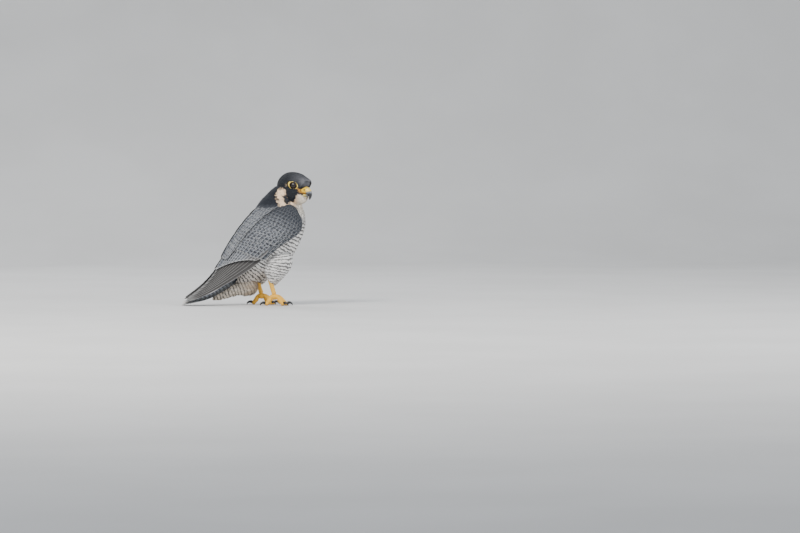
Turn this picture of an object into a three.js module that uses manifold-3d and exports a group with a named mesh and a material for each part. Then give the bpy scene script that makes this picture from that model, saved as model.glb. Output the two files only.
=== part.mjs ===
// Peregrine falcon, adult, life size, as a still museum model.
// Millimetres. +X is forwards, +Y is to the bird's left, +Z is up, and the floor is at z = 0.
// The bird stands on both feet with its head turned to its right, and its tail is laid to the floor.
import * as THREE from "three";
import { mergeVertices } from "three/addons/utils/BufferGeometryUtils.js";
import Module from "manifold-3d";

const wasm = await Module();
wasm.setup();

// Driving sizes
const GAP = 0.35; // between neighbouring pieces
const RIGHT = -1;
const LEFT = 1;
const degrees = THREE.MathUtils.degToRad;

// Head: its centre, and how far it reaches from there
const HEAD = {
  centre: [47, -9, 253],
  turn: degrees(-50),
  nod: degrees(6),
  forehead: 38,
  nape: 42,
  cheek: 28.5,
  crown: 33,
  throat: 37,
};
const EYE = { radius: 8.2, at: [13.2, 15.6, 6.4], looks: [0.42, 0.9, 0.03], droop: degrees(14) };
const LID = {
  inner: 6.7,
  brim: 5.45,
  seat: 8.15,
  outer: 8.8,
  low: 3,
  high: 6.4,
  slope: 1.3,
  corner: 2,
  point: 5,
  fall: 1 / 50,
};

// Trunk from inside the head down to the tail root, a station every few centimetres
const TRUNK = [
  { at: [46, -6, 272], side: 16, front: 16, back: 20 },
  { at: [36, -2, 254], side: 22, front: 24, back: 20 },
  { at: [25, 0, 232], side: 30, front: 43, back: 32 },
  { at: [14, 0, 204], side: 39, front: 62, back: 45 },
  { at: [0, 0, 165], side: 45, front: 67, back: 53 },
  { at: [-22, 0, 122], side: 44, front: 63, back: 48 },
  { at: [-45, 0, 86], side: 35, front: 42, back: 37 },
  { at: [-66, 0, 63], side: 21, front: 28, back: 20 },
  { at: [-84, 0, 53], side: 12, front: 14, back: 11 },
];
const TRUNK_FACES = { around: 22, along: 19 };
const COLLAR_HEIGHT = 216; // where the neck is parted from the torso
const COLLAR_SLOPE = degrees(14);

// Legs: the thigh is a soft cone of feathers over the leg
const LEG_SPREAD = 27;
const FOOT_FORWARD = { [RIGHT]: 2, [LEFT]: -20 };
const THIGH = [
  { at: [4, 0, 116], side: 18, front: 30, back: 28 },
  { at: [6, 0, 94], side: 21, front: 33, back: 30 },
  { at: [2, 0, 72], side: 17, front: 25, back: 25 },
  { at: [0, 0, 56], side: 11, front: 15, back: 15 },
  { at: [1, 0, 44], side: 5, front: 7, back: 7 },
];
const TARSUS = [
  { at: [-11, 0, 62], side: 5.4, front: 5.6, back: 5.6 },
  { at: [-7, 0, 48], side: 4.6, front: 4.8, back: 5 },
  { at: [-3, 0, 33], side: 4.6, front: 4.6, back: 4.8 },
  { at: [0, 0, 24], side: 5, front: 5, back: 5 },
];
const PALM = { at: [0, 0, 19], across: 7.6, length: 8.4, height: 6.6 };
const TOES = [
  { name: "inner", heading: degrees(40), reach: 26, thick: 4.9, claw: 14 },
  { name: "middle", heading: degrees(3), reach: 31, thick: 4.8, claw: 13 },
  { name: "outer", heading: degrees(-36), reach: 28, thick: 4.5, claw: 12 },
  { name: "hind", heading: degrees(174), reach: 21, thick: 5, claw: 15 },
];
// Heights of a toe's middle, evenly spaced from the palm to its end
const TOE_ARCH = [18.5, 19.4, 17, 11.4, 5.4, 1.7];
const TOE_PAD = 0.22; // how much the pads swell below the toe, as a share of its thickness

// Folded wing: matching points on its lower and upper edge from the wrist to the tip, and the bulge between
const WING = [
  { lower: [61, 31, 186], upper: [12, 17, 223], bulge: 8 },
  { lower: [54, 45, 156], upper: [-30, 10, 205], bulge: 15 },
  { lower: [8, 50, 124], upper: [-62, 8, 169], bulge: 17 },
  { lower: [-35, 46, 86], upper: [-89, 7, 130], bulge: 13 },
  { lower: [-80, 40, 56], upper: [-115, 8, 86], bulge: 8 },
  { lower: [-134, 33, 26], upper: [-147, 15, 53], bulge: 4 },
  { lower: [-183, 30, 4], upper: [-191, 22, 25], bulge: 1 },
];
const WRIST_BOW = 11; // how far the bend of the wing stands ahead of a straight line between its corners
const ARM_END = { lower: 0.36, upper: 0.46 }; // share of the wing's length that the covert-covered arm takes
// Heights of the folded wing's layers above its sheet: first the primaries, then the secondaries and the arm
const LAYERS = { first: 0.5, primaries: 5.2, secondaries: 6, flight: 8.4, arm: 8.8 };
const VANE = { thick: 0.55, tilt: 0.6, columns: 2, rows: 4 };
const SMALL_VANE = { columns: 1, rows: 3 };
const PRIMARIES = { count: 7, half: 6.4, rise: 0.5 };
const PRIMARY_TIPS = [
  [0.985, 0.26],
  [1, 0.46],
  [0.955, 0.55],
  [0.9, 0.63],
  [0.845, 0.7],
  [0.79, 0.77],
  [0.735, 0.84],
];
const SECONDARIES = { count: 7, half: 7.2 };
// Rows of small feathers: their roots and tips along the wing, measured from the arm's end, and their number
const COVERT_ROWS = [
  { root: -0.05, tip: 0.075, count: 7, from: 0.1, to: 0.8, half: 6.6 },
  { root: -0.14, tip: -0.015, count: 6, from: 0.12, to: 0.76, half: 7.4 },
  { root: -0.24, tip: -0.11, count: 5, from: 0.15, to: 0.7, half: 8.4 },
];
const SCAPULAR_ROWS = [
  { root: 0.1, tip: 0.3, count: 3, from: 0.76, to: 0.94, half: 8.5 },
  { root: 0.24, tip: 0.44, count: 3, from: 0.74, to: 0.93, half: 9 },
  { root: 0.38, tip: 0.58, count: 2, from: 0.78, to: 0.92, half: 9 },
];

// Tail: its centre line along the mid-plane, from the root to the tip
const TAIL = [
  [-66, 0, 62],
  [-100, 0, 36],
  [-140, 0, 15.5],
  [-196, 0, 3.1],
];
const TAIL_HALF = { root: 15, tip: 26 };
const TAIL_LENGTH = 148;
const TAIL_ROOF = 5; // how far the folded tail's sides hang below its middle
const TAIL_THICK = 5.2;
const RECTRICES = { perSide: 6, half: 6.6, thick: 0.55 };
const UNDERTAIL = [
  { at: [-34, 0, 56], side: 18, front: 20, back: 14 },
  { at: [-54, 0, 43], side: 20, front: 22, back: 16 },
  { at: [-78, 0, 34], side: 17, front: 12, back: 14 },
  { at: [-102, 0, 24], side: 14, front: 7.5, back: 10 },
  { at: [-126, 0, 14], side: 9, front: 3.5, back: 7 },
];

// Geometry helpers
const point = (at) => new THREE.Vector3(...at);
const curveOf = (points) => new THREE.CatmullRomCurve3(points, false, "catmullrom");

// Positions only, with shared corners merged, as one closed solid that faces outwards
function solidOf(geometry) {
  const bare = new THREE.BufferGeometry().setAttribute("position", geometry.getAttribute("position"));
  bare.setIndex(geometry.index);
  const merged = mergeVertices(bare, 1e-4);
  const build = (corners) =>
    new wasm.Manifold(
      new wasm.Mesh({
        numProp: 3,
        vertProperties: new Float32Array(merged.attributes.position.array),
        triVerts: new Uint32Array(corners),
      }),
    );
  const solid = build(merged.index.array);
  if (solid.volume() > 0) return solid;
  return build(Array.from(merged.index.array).reverse());
}

// The largest closed surface of a solid: this fills sealed hollows and drops loose scraps
function largest(solid) {
  const pieces = solid.decompose();
  return pieces.reduce((best, piece) => (piece.volume() > best.volume() ? piece : best));
}

const fuse = (solids) => largest(wasm.Manifold.union(solids));

function geometryOf(solid) {
  const mesh = solid.getMesh();
  return new THREE.BufferGeometry()
    .setAttribute("position", new THREE.BufferAttribute(new Float32Array(mesh.vertProperties), 3))
    .setIndex(new THREE.BufferAttribute(new Uint32Array(mesh.triVerts), 1));
}

// A ball whose every point moves to place(turn, share): turn goes round, share from one pole to the other
function ball(around, along, place) {
  const geometry = new THREE.SphereGeometry(1, around, along);
  const { position, uv } = geometry.attributes;
  for (let i = 0; i < position.count; i++) {
    const share = 1 - uv.getY(i);
    const atPole = share < 1e-6 || share > 1 - 1e-6;
    const turn = atPole ? 0 : (uv.getX(i) % 1) * 2 * Math.PI;
    const p = place(turn, share);
    position.setXYZ(i, p.x, p.y, p.z);
  }
  return solidOf(geometry);
}

// A rounded body along a curve. Each station says how far the body reaches to its side, front and back.
// The ends are domes, round over the first and last part of the length.
function loft(stations, around, along, { grow = 0, dome = 0.12, sideways = [0, 1, 0] } = {}) {
  const spine = curveOf(stations.map((s) => point(s.at)));
  const girth = curveOf(stations.map((s) => new THREE.Vector3(s.side, s.front, s.back)));
  const roundOff = (share) => Math.sqrt(Math.max(0, 1 - Math.max(0, 1 - share / dome) ** 2));
  return ball(around, along, (turn, polar) => {
    const t = 0.45 * polar + 0.55 * (0.5 - 0.5 * Math.cos(Math.PI * polar));
    const tangent = spine.getTangent(t);
    const front = tangent.clone().cross(point(sideways)).normalize();
    const side = front.clone().cross(tangent).normalize();
    const reach = girth.getPoint(t);
    const [first, last] = [roundOff(t), roundOff(1 - t)];
    const dip = Math.min(first, last);
    const out = Math.cos(turn) >= 0 ? reach.y : reach.z;
    return spine
      .getPoint(t)
      .addScaledVector(tangent, grow * (first - last))
      .addScaledVector(side, Math.sin(turn) * (reach.x + grow) * dip)
      .addScaledVector(front, Math.cos(turn) * (out + grow) * dip);
  });
}

// A thin closed sheet: face(across, along, outside) gives its points
function plate(columns, rows, face) {
  const sheet = new THREE.PlaneGeometry(1, 1, columns, rows);
  const { uv } = sheet.attributes;
  const count = uv.count;
  const position = new THREE.BufferAttribute(new Float32Array(count * 6), 3);
  for (let i = 0; i < count; i++) {
    [true, false].forEach((outside, layer) => {
      const p = face(uv.getX(i), 1 - uv.getY(i), outside);
      position.setXYZ(i + layer * count, p.x, p.y, p.z);
    });
  }
  const top = Array.from(sheet.index.array);
  const bottom = top.map((corner) => corner + count).reverse();
  const wide = columns + 1;
  const rim = [];
  for (let c = 0; c < columns; c++) rim.push(c);
  for (let r = 0; r < rows; r++) rim.push(columns + r * wide);
  for (let c = columns; c > 0; c--) rim.push(rows * wide + c);
  for (let r = rows; r > 0; r--) rim.push(r * wide);
  const wall = rim.flatMap((a, i) => {
    const b = rim[(i + 1) % rim.length];
    return [a, b, a + count, b, b + count, a + count];
  });
  const geometry = new THREE.BufferGeometry().setAttribute("position", position);
  geometry.setIndex([...top, ...bottom, ...wall]);
  return solidOf(geometry);
}

const mix = THREE.MathUtils.lerp;
const ease = THREE.MathUtils.smoothstep;

// Trunk, neck and thighs
const trunk = (grow = 0) => loft(TRUNK, TRUNK_FACES.around, TRUNK_FACES.along, { grow, dome: 0.1 });

const inLeg = (side) => new THREE.Matrix4().makeTranslation(FOOT_FORWARD[side], side * LEG_SPREAD, 0);
const moved = (solid, matrix) => solid.transform(matrix.elements);
const thigh = (side, grow = 0) => moved(loft(THIGH, 12, 9, { grow, dome: 0.2 }), inLeg(side));

// Head: a rounded form whose reach differs to each side, with eye hollows, brows and full cheeks
function headSolid(grow = 0) {
  return ball(24, 15, (turn, share) => {
    const up = Math.cos(Math.PI * share);
    const level = Math.sin(Math.PI * share);
    const [ahead, aside] = [level * Math.cos(turn), level * Math.sin(turn)];
    const length = ahead > 0 ? HEAD.forehead : HEAD.nape;
    const height = up > 0 ? HEAD.crown : HEAD.throat;
    const hollow = 5.4 * bump(ahead - 0.42, Math.abs(aside) - 0.82, up - 0.14, 0.4);
    const brow = 5.2 * bump(ahead - 0.82, Math.abs(aside) - 0.42, up - 0.42, 0.27);
    const cheek = 1.6 * bump(ahead - 0.1, Math.abs(aside) - 0.8, up + 0.5, 0.35);
    const chin = 4.2 * bump(ahead - 0.78, aside, up + 0.62, 0.34);
    const lores = 3.4 * bump(ahead - 0.86, Math.abs(aside) - 0.42, up + 0.06, 0.22);
    const flat = 1.5 * bump(ahead - 0.1, aside, up - 1, 0.45);
    const swell = 1 + (brow + cheek + chin - flat - hollow - lores + grow) / 30;
    return new THREE.Vector3(ahead * length, aside * HEAD.cheek, up * height).multiplyScalar(swell);
  });
}

function bump(x, y, z, spread) {
  return Math.exp(-(x * x + y * y + z * z) / (spread * spread));
}

const headPlace = new THREE.Matrix4().compose(
  point(HEAD.centre),
  new THREE.Quaternion().setFromEuler(new THREE.Euler(0, HEAD.nod, HEAD.turn, "ZYX")),
  new THREE.Vector3(1, 1, 1),
);

// An eye's frame in the head: z along the way that it looks, x towards the bill and a little down
function inEye(side) {
  const [x, y, z] = EYE.at;
  const [ahead, out, up] = EYE.looks;
  const looks = new THREE.Vector3(ahead, side * out, up).normalize();
  const toBill = new THREE.Vector3(Math.cos(EYE.droop), 0, -Math.sin(EYE.droop));
  toBill.addScaledVector(looks, -toBill.dot(looks)).normalize();
  const across = looks.clone().cross(toBill);
  return new THREE.Matrix4().makeBasis(toBill, across, looks).setPosition(x, side * y, z);
}

const eyeball = (side, grow = 0) =>
  moved(solidOf(new THREE.SphereGeometry(EYE.radius + grow, 14, 9)), inEye(side));

// The bare ring round the eye: a low ring with an almond-shaped outer edge, its longer point at the bill.
// Its room in the head is the same form without the hole.
function lid(side, isRoom = false) {
  const grow = isRoom ? GAP : 0;
  const outside = [
    [LID.outer + grow, LID.low - grow],
    [LID.outer + grow, LID.high - LID.slope + grow],
    [LID.inner, LID.high + grow],
  ];
  const rim = isRoom
    ? [[0, LID.low - grow], ...outside, [0, LID.high + grow]]
    : [[LID.seat, LID.low], ...outside, [LID.inner, LID.brim], [LID.seat, LID.low]];
  const lathe = new THREE.LatheGeometry(rim.map((at) => new THREE.Vector2(...at)), 16).rotateX(Math.PI / 2);
  const { position } = lathe.attributes;
  for (let i = 0; i < position.count; i++) {
    const [x, y, z] = [position.getX(i), position.getY(i), position.getZ(i)];
    const radius = Math.max(Math.hypot(x, y), 1e-6);
    const share = THREE.MathUtils.clamp((radius - LID.seat) / (LID.outer - LID.seat), 0, 1);
    const stretch = share * (x > 0 ? LID.point : LID.corner) * (x / radius) ** 4;
    const far = (radius + stretch) / radius;
    position.setXYZ(i, x * far, y * far, z - LID.fall * radius ** 2 * (far ** 2 - 1));
  }
  return moved(solidOf(lathe), inEye(side));
}

// Bill: cere, upper mandible with its hook, and lower mandible, in the head's own frame
const CERE = [
  { at: [24, 0, -1.5], side: 11, front: 9, back: 9 },
  { at: [33, 0, -2], side: 9.2, front: 8, back: 8.5 },
  { at: [40, 0, -2.8], side: 7.6, front: 7.6, back: 7.4 },
  { at: [44, 0, -4.5], side: 6, front: 6, back: 5.5 },
];
const HOOK = [
  { at: [32, 0, -2.5], side: 8, front: 7.6, back: 7.6 },
  { at: [39.5, 0, -3.1], side: 7.5, front: 7.5, back: 7.2 },
  { at: [45.6, 0, -6.5], side: 5.6, front: 5.7, back: 5.4 },
  { at: [48.8, 0, -12.8], side: 3.4, front: 3.7, back: 3.6 },
  { at: [47.6, 0, -21.5], side: 0.9, front: 1, back: 1 },
];
const JAW = [
  { at: [18, 0, -12.5], side: 9, front: 4, back: 5 },
  { at: [32, 0, -12.7], side: 7.6, front: 4.4, back: 4.6 },
  { at: [45, 0, -11.6], side: 3.6, front: 3, back: 2.6 },
];
const MOUTH_HEIGHT = -9.4;
const CERE_EDGE = 40.5;
const NOSTRIL = { at: [36.8, -1.2], radius: 1.6, depth: 3 };
const cereForm = (grow = 0) => loft(CERE, 12, 7, { grow, dome: 0.1 });
const hookForm = (grow = 0) => loft(HOOK, 12, 10, { grow, dome: 0.08 });
const jawForm = (grow = 0) => loft(JAW, 10, 7, { grow, dome: 0.12 });

// Toes: an arch from the palm over the joints to the floor, with pads below
function toe({ heading, reach, thick }) {
  const last = TOE_ARCH.length - 1;
  const stations = TOE_ARCH.map((height, i) => {
    const share = (0.95 * i) / last;
    const distance = share * reach;
    const pad = i % 2 === last % 2 ? 1 + TOE_PAD : 1 - TOE_PAD / 2;
    return {
      at: [Math.cos(heading) * distance, Math.sin(heading) * distance, height],
      side: thick * (1 - 0.2 * share) * (0.5 + pad / 2),
      front: thick * (1 - 0.2 * share),
      back: thick * (1 - 0.1 * share) * pad,
    };
  });
  return loft(stations, 6, 11, { dome: 0.16, sideways: [-Math.sin(heading), Math.cos(heading), 0] });
}

// A claw: a tapered hook from the toe's end to the floor
function claw({ heading, reach, thick, claw: length }) {
  const start = 0.9 * reach;
  const path = [
    [start, 5.4, 0.6],
    [start + 0.4 * length, 6.6, 0.5],
    [start + 0.74 * length, 4.2, 0.32],
    [start + 0.84 * length, 0.5, 0.13],
  ];
  const stations = path.map(([distance, height, share]) => ({
    at: [Math.cos(heading) * distance, Math.sin(heading) * distance, height],
    side: thick * share,
    front: thick * share * 1.15,
    back: thick * share,
  }));
  return loft(stations, 6, 6, { dome: 0.1, sideways: [-Math.sin(heading), Math.cos(heading), 0] });
}

const FLOOR_CUT = [[0, 0, 1], 0];
const onFloor = (solid) => solid.trimByPlane(...FLOOR_CUT);

function palm(grow = 0) {
  const form = new THREE.SphereGeometry(1, 10, 6);
  form.scale(PALM.length + grow, PALM.across + grow, PALM.height + grow).translate(...PALM.at);
  return solidOf(form);
}

// The foot's own form, or the room that it takes when grown
const toeForm = (one, grow = 0) => toe({ ...one, thick: one.thick + grow });
const footForm = (grow = 0) => fuse([palm(grow), ...TOES.map((one) => toeForm(one, grow))]);
const clawForm = (one, grow = 0) => claw({ ...one, thick: one.thick + 2 * grow });

// Folded wing: a sheet between its two edges, bulging outwards.
// u runs from the wrist to the tip, and v from the lower to the upper edge.
const wingLower = curveOf(WING.map((s) => point(s.lower)));
const wingUpper = curveOf(WING.map((s) => point(s.upper)));
const wingBulge = curveOf(WING.map((s) => new THREE.Vector3(s.bulge, 0, 0)));

function onSheet(u, v) {
  const low = wingLower.getPoint(u);
  const high = wingUpper.getPoint(u);
  const span = high.clone().sub(low);
  const run = wingLower.getTangent(u).lerp(wingUpper.getTangent(u), v);
  const outward = run.cross(span).normalize();
  const arch = Math.sin(Math.PI * THREE.MathUtils.clamp(v, 0, 1));
  const bow = WRIST_BOW * arch * (1 - ease(u, 0, 0.22));
  return low
    .addScaledVector(span, v)
    .addScaledVector(outward, wingBulge.getPoint(u).x * arch)
    .addScaledVector(run.normalize(), -bow);
}

// A point at a height over the sheet, with the layers drawn together towards the wrist and both edges
function onWing(u, v, height) {
  const step = 0.004;
  const along = onSheet(u + step, v).sub(onSheet(u - step, v));
  const across = onSheet(u, v + step).sub(onSheet(u, v - step));
  const outward = along.cross(across).normalize();
  const edge = 0.72 + 0.28 * ease(v, 0, 0.3) * ease(1 - v, 0, 0.2);
  const wrist = 0.6 + 0.4 * ease(u, 0, 0.12);
  const raised = LAYERS.first + (height - LAYERS.first) * edge * wrist;
  return onSheet(u, v).addScaledVector(outward, raised);
}

const wingWidth = (u) => wingUpper.getPoint(u).distanceTo(wingLower.getPoint(u));
const armEnd = (v) => mix(ARM_END.lower, ARM_END.upper, v);
const afterArm = (v) => armEnd(v) + 0.0016;

// The covert-covered arm, with rounded edges
function armCore() {
  return plate(7, 6, (across, along, outside) => {
    const u = 0.004 + (armEnd(across) - 0.004) * along;
    const edge = Math.sqrt(Math.sin(Math.PI * mix(0.02, 0.98, across)));
    const front = Math.sqrt(Math.min(1, 0.08 + along / 0.18));
    const top = LAYERS.first + (LAYERS.arm - LAYERS.first) * edge * front;
    return onWing(u, across, outside ? top : LAYERS.first);
  });
}

// The block that a group of flight feathers grows from, just behind the arm
function quillBlock(low, high, inside, outside) {
  return plate(4, 1, (across, along, isOutside) => {
    const v = mix(low, high, across);
    return onWing(afterArm(v) + 0.05 * along, v, isOutside ? outside : inside);
  });
}

// Half a feather's width at a share of its length: it widens from the quill and rounds off at the tip
function vaneWidth(share, half) {
  const round = Math.sqrt(Math.max(0.02, 1 - Math.max(0, (share - 0.74) / 0.26) ** 2));
  return half * mix(0.6, 1, ease(share, 0, 0.3)) * round;
}

// One feather on the wing: a thin plate from its root to its tip, whose lower edge lies over its neighbour
function vane({ root, tip, half, heights, tilt = VANE.tilt, columns = VANE.columns, rows = VANE.rows }) {
  return plate(columns, rows, (across, along, outside) => {
    const share = along ** 0.75;
    const u = mix(root[0], tip[0], share);
    const q = across * 2 - 1;
    const aside = (q * vaneWidth(share, half)) / wingWidth(u);
    const v = THREE.MathUtils.clamp(mix(root[1], tip[1], share) + aside, 0.005, 0.995);
    const height = mix(heights[0], heights[1], ease(share, 0, 0.4)) - q * tilt;
    return onWing(u, v, height + (outside ? VANE.thick : 0));
  });
}

const inOrder = (count, make) => Array.from({ length: count }, (_, i) => make(i, i / (count - 1)));

function primaries() {
  const low = LAYERS.first + VANE.tilt + 0.1;
  const vanes = inOrder(PRIMARIES.count, (i, share) => {
    const v = mix(0.08, 0.8, share);
    const height = low + i * PRIMARIES.rise;
    const place = { root: [afterArm(v) + 0.02, v], tip: PRIMARY_TIPS[i], heights: [height, height] };
    return vane({ ...place, half: PRIMARIES.half });
  });
  return fuse([quillBlock(0.02, 0.9, LAYERS.first, LAYERS.primaries), ...vanes]);
}

function secondaries() {
  const height = mix(LAYERS.secondaries, LAYERS.flight, 0.5) - VANE.thick / 2;
  const vanes = inOrder(SECONDARIES.count, (i, share) => {
    const v = mix(0.15, 0.88, share);
    const tip = [mix(0.5, 0.71, share ** 1.2), mix(0.2, 0.86, share)];
    return vane({ root: [afterArm(v) + 0.02, v], tip, half: SECONDARIES.half, heights: [height, height] });
  });
  return fuse([quillBlock(0.08, 0.96, LAYERS.secondaries, LAYERS.flight), ...vanes]);
}

// The arm with its rows of coverts, and the scapulars along the back
function coverts() {
  const sunk = LAYERS.arm - 1.6;
  const rows = COVERT_ROWS.flatMap((row, order) =>
    inOrder(row.count, (i, share) => {
      const v = mix(row.from, row.to, share);
      const end = armEnd(v);
      const raised = LAYERS.arm + 1.1 + 0.25 * order;
      const place = { root: [end + row.root, v], tip: [end + row.tip, v], heights: [sunk, raised] };
      return vane({ ...place, half: row.half, tilt: 0.66, ...SMALL_VANE });
    }),
  );
  const back = SCAPULAR_ROWS.flatMap((row, order) =>
    inOrder(row.count, (i, share) => {
      const v = mix(row.from, row.to, share);
      const raised = LAYERS.arm + 3.3 - 0.4 * order;
      const place = { root: [row.root, v], tip: [row.tip - 0.02 * i, v], heights: [sunk, raised] };
      return vane({ ...place, half: row.half, tilt: 0.7, ...SMALL_VANE });
    }),
  );
  return fuse([armCore(), ...rows, ...back]);
}

// Tail: a sheet that widens to its tip, roofed down at both sides
const tailLine = curveOf(TAIL.map(point));
const tailHalf = (u) => mix(TAIL_HALF.root, TAIL_HALF.tip, u);

function onTail(u, aside, height) {
  const inside = Math.min(1, Math.max(0, u));
  const tangent = tailLine.getTangent(inside);
  const up = new THREE.Vector3(0, 1, 0).cross(tangent).negate().normalize();
  const roof = TAIL_ROOF * (1 - 0.55 * u) * (aside / tailHalf(u)) ** 2;
  return tailLine
    .getPoint(inside)
    .addScaledVector(tangent, (u - inside) * TAIL_LENGTH)
    .add(new THREE.Vector3(0, aside, 0))
    .addScaledVector(up, height - roof);
}

// The tail's root, and its feathers in pairs: the middle pair on top, each pair beneath the one before it
function tailSolid() {
  const root = plate(6, 2, (across, along, outside) => {
    const u = 0.2 * along;
    return onTail(u, (across * 2 - 1) * tailHalf(u), (outside ? 0.5 : -0.5) * TAIL_THICK);
  });
  const step = (TAIL_THICK - RECTRICES.thick - 0.5) / (RECTRICES.perSide - 1);
  const vanes = [RIGHT, LEFT].flatMap((side) =>
    inOrder(RECTRICES.perSide, (i, share) =>
      plate(VANE.columns, VANE.rows, (across, along, outside) => {
        const far = along ** 0.75;
        const u = mix(0.08, 1 - 0.05 * share, far);
        const half = vaneWidth(far, RECTRICES.half);
        const first = GAP / 2 + half;
        const middle = mix(first, tailHalf(u) + 1 - half, share);
        const height = TAIL_THICK / 2 - 0.25 - RECTRICES.thick - i * step;
        return onTail(u, side * middle + (across * 2 - 1) * half, height + (outside ? RECTRICES.thick : 0));
      }),
    ),
  );
  return fuse([root, ...vanes]);
}

// Assembly
const LOOKS = {
  slate: [0x4a5058, 0.85],
  black: [0x1b1d21, 0.85],
  barred: [0xb8b4ab, 0.9],
  cream: [0xd9cbb2, 0.9],
  flight: [0x4d4a46, 0.8],
  yellow: [0xe8a21c, 0.5],
  horn: [0x24262c, 0.35],
  eye: [0x120b07, 0.08],
};

function material(look) {
  const [color, roughness] = LOOKS[look];
  return new THREE.MeshStandardMaterial({ color, roughness, metalness: 0 });
}

function node(parent, name, solid, look) {
  const mesh = new THREE.Mesh(geometryOf(largest(solid)), material(look));
  mesh.name = name;
  parent.add(mesh);
}

const falcon = new THREE.Group();
const bird = new THREE.Group();
falcon.add(bird);

// Head and neck
const headGroup = new THREE.Group();
headGroup.applyMatrix4(headPlace);
bird.add(headGroup);

const lowerJaw = jawForm().trimByPlane([0, 0, -1], -(MOUTH_HEIGHT - GAP / 2)).subtract(hookForm(GAP));
const cere = cereForm()
  .trimByPlane([0, 0, 1], MOUTH_HEIGHT + GAP / 2)
  .trimByPlane([-1, 0, 0], -(CERE_EDGE - GAP / 2));
const nostrils = [RIGHT, LEFT].map((side) => {
  const bore = new THREE.CylinderGeometry(NOSTRIL.radius, NOSTRIL.radius, 2 * NOSTRIL.depth, 10);
  return solidOf(bore.translate(NOSTRIL.at[0], side * 8.6, NOSTRIL.at[1]));
});
const upperBill = hookForm().trimByPlane([1, 0, 0], CERE_EDGE + GAP / 2).subtract(jawForm(GAP));

const headRooms = [
  jawForm(GAP),
  cereForm(GAP),
  hookForm(GAP),
  ...[RIGHT, LEFT].flatMap((side) => [eyeball(side, GAP), lid(side, true)]),
];
const headShape = headRooms.reduce((head, room) => head.subtract(room), headSolid());
node(headGroup, "head", headShape, "black");
node(headGroup, "cere", nostrils.reduce((rest, hole) => rest.subtract(hole), cere), "yellow");
node(headGroup, "bill_upper", upperBill, "horn");
node(headGroup, "bill_lower", lowerJaw, "horn");
for (const [side, name] of [[RIGHT, "right"], [LEFT, "left"]]) {
  node(headGroup, `eye_${name}`, eyeball(side), "eye");
  node(headGroup, `lid_${name}`, lid(side), "yellow");
}

const collarUp = [-Math.sin(COLLAR_SLOPE), 0, Math.cos(COLLAR_SLOPE)];
const collarOffset = collarUp[0] * 24 + collarUp[2] * COLLAR_HEIGHT;
const wholeTrunk = trunk();
const headRoom = moved(headSolid(GAP), headPlace);
const bareNeck = wholeTrunk.trimByPlane(collarUp, collarOffset + GAP / 2).subtract(headRoom);
const billRoom = moved(headRooms[0], headPlace);
const neck = bareNeck.subtract(billRoom);
node(bird, "neck", neck, "cream");

// Trunk and tail
const tailRoom = plate(8, 12, (across, along, outside) => {
  const u = mix(-0.01, 1.01, along);
  return onTail(u, (across * 2 - 1) * (tailHalf(u) + 1.6), (outside ? 0.5 : -0.5) * (TAIL_THICK + 2 * GAP));
});
const torso = wholeTrunk
  .trimByPlane(collarUp.map((n) => -n), -(collarOffset - GAP / 2))
  .subtract(tailRoom)
  .subtract(headRoom);
node(bird, "torso", torso, "slate");
node(bird, "tail", onFloor(tailSolid()), "barred");
const undertail = loft(UNDERTAIL, 12, 9, { dome: 0.15 }).subtract(trunk(GAP)).subtract(tailRoom);
node(bird, "undertail_coverts", onFloor(undertail), "barred");

// Wings and legs
for (const [side, name] of [[RIGHT, "right"], [LEFT, "left"]]) {
  const mirrored = new THREE.Matrix4().makeScale(1, side, 1);
  const clear = [trunk(GAP), thigh(side, GAP), tailRoom, headRoom];
  const wing = (solid) => clear.reduce((rest, piece) => rest.subtract(piece), moved(solid, mirrored));
  node(bird, `wing_${name}_coverts`, wing(coverts()), "slate");
  node(bird, `wing_${name}_secondaries`, wing(secondaries()), "slate");
  node(bird, `wing_${name}_primaries`, wing(primaries()), "flight");

  const leg = new THREE.Group();
  leg.applyMatrix4(inLeg(side));
  bird.add(leg);
  const shankRoom = moved(loft(TARSUS, 8, 7, { grow: GAP }), inLeg(side));
  const thighShape = thigh(side).subtract(trunk(GAP)).subtract(shankRoom);
  node(bird, `thigh_${name}`, thighShape, "barred");
  const tarsus = loft(TARSUS, 8, 7).subtract(moved(footForm(GAP), mirrored));
  node(leg, `tarsus_${name}`, tarsus, "yellow");
  const foot = TOES.reduce((rest, one) => rest.subtract(clawForm(one, GAP)), onFloor(footForm()));
  node(leg, `foot_${name}`, moved(foot, mirrored), "yellow");
  TOES.forEach((one) => {
    node(leg, `claw_${name}_${one.name}`, moved(onFloor(clawForm(one)), mirrored), "horn");
  });
}

// The origin is under the middle of the bird, on the floor
falcon.updateMatrixWorld(true);
const reach = new THREE.Box3().setFromObject(bird, true);
const middle = reach.getCenter(new THREE.Vector3());
bird.position.set(-middle.x, -middle.y, -reach.min.z);

export default falcon;
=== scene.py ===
import math
import bpy
import numpy as np
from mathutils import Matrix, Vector
from mathutils.bvhtree import BVHTree


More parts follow.
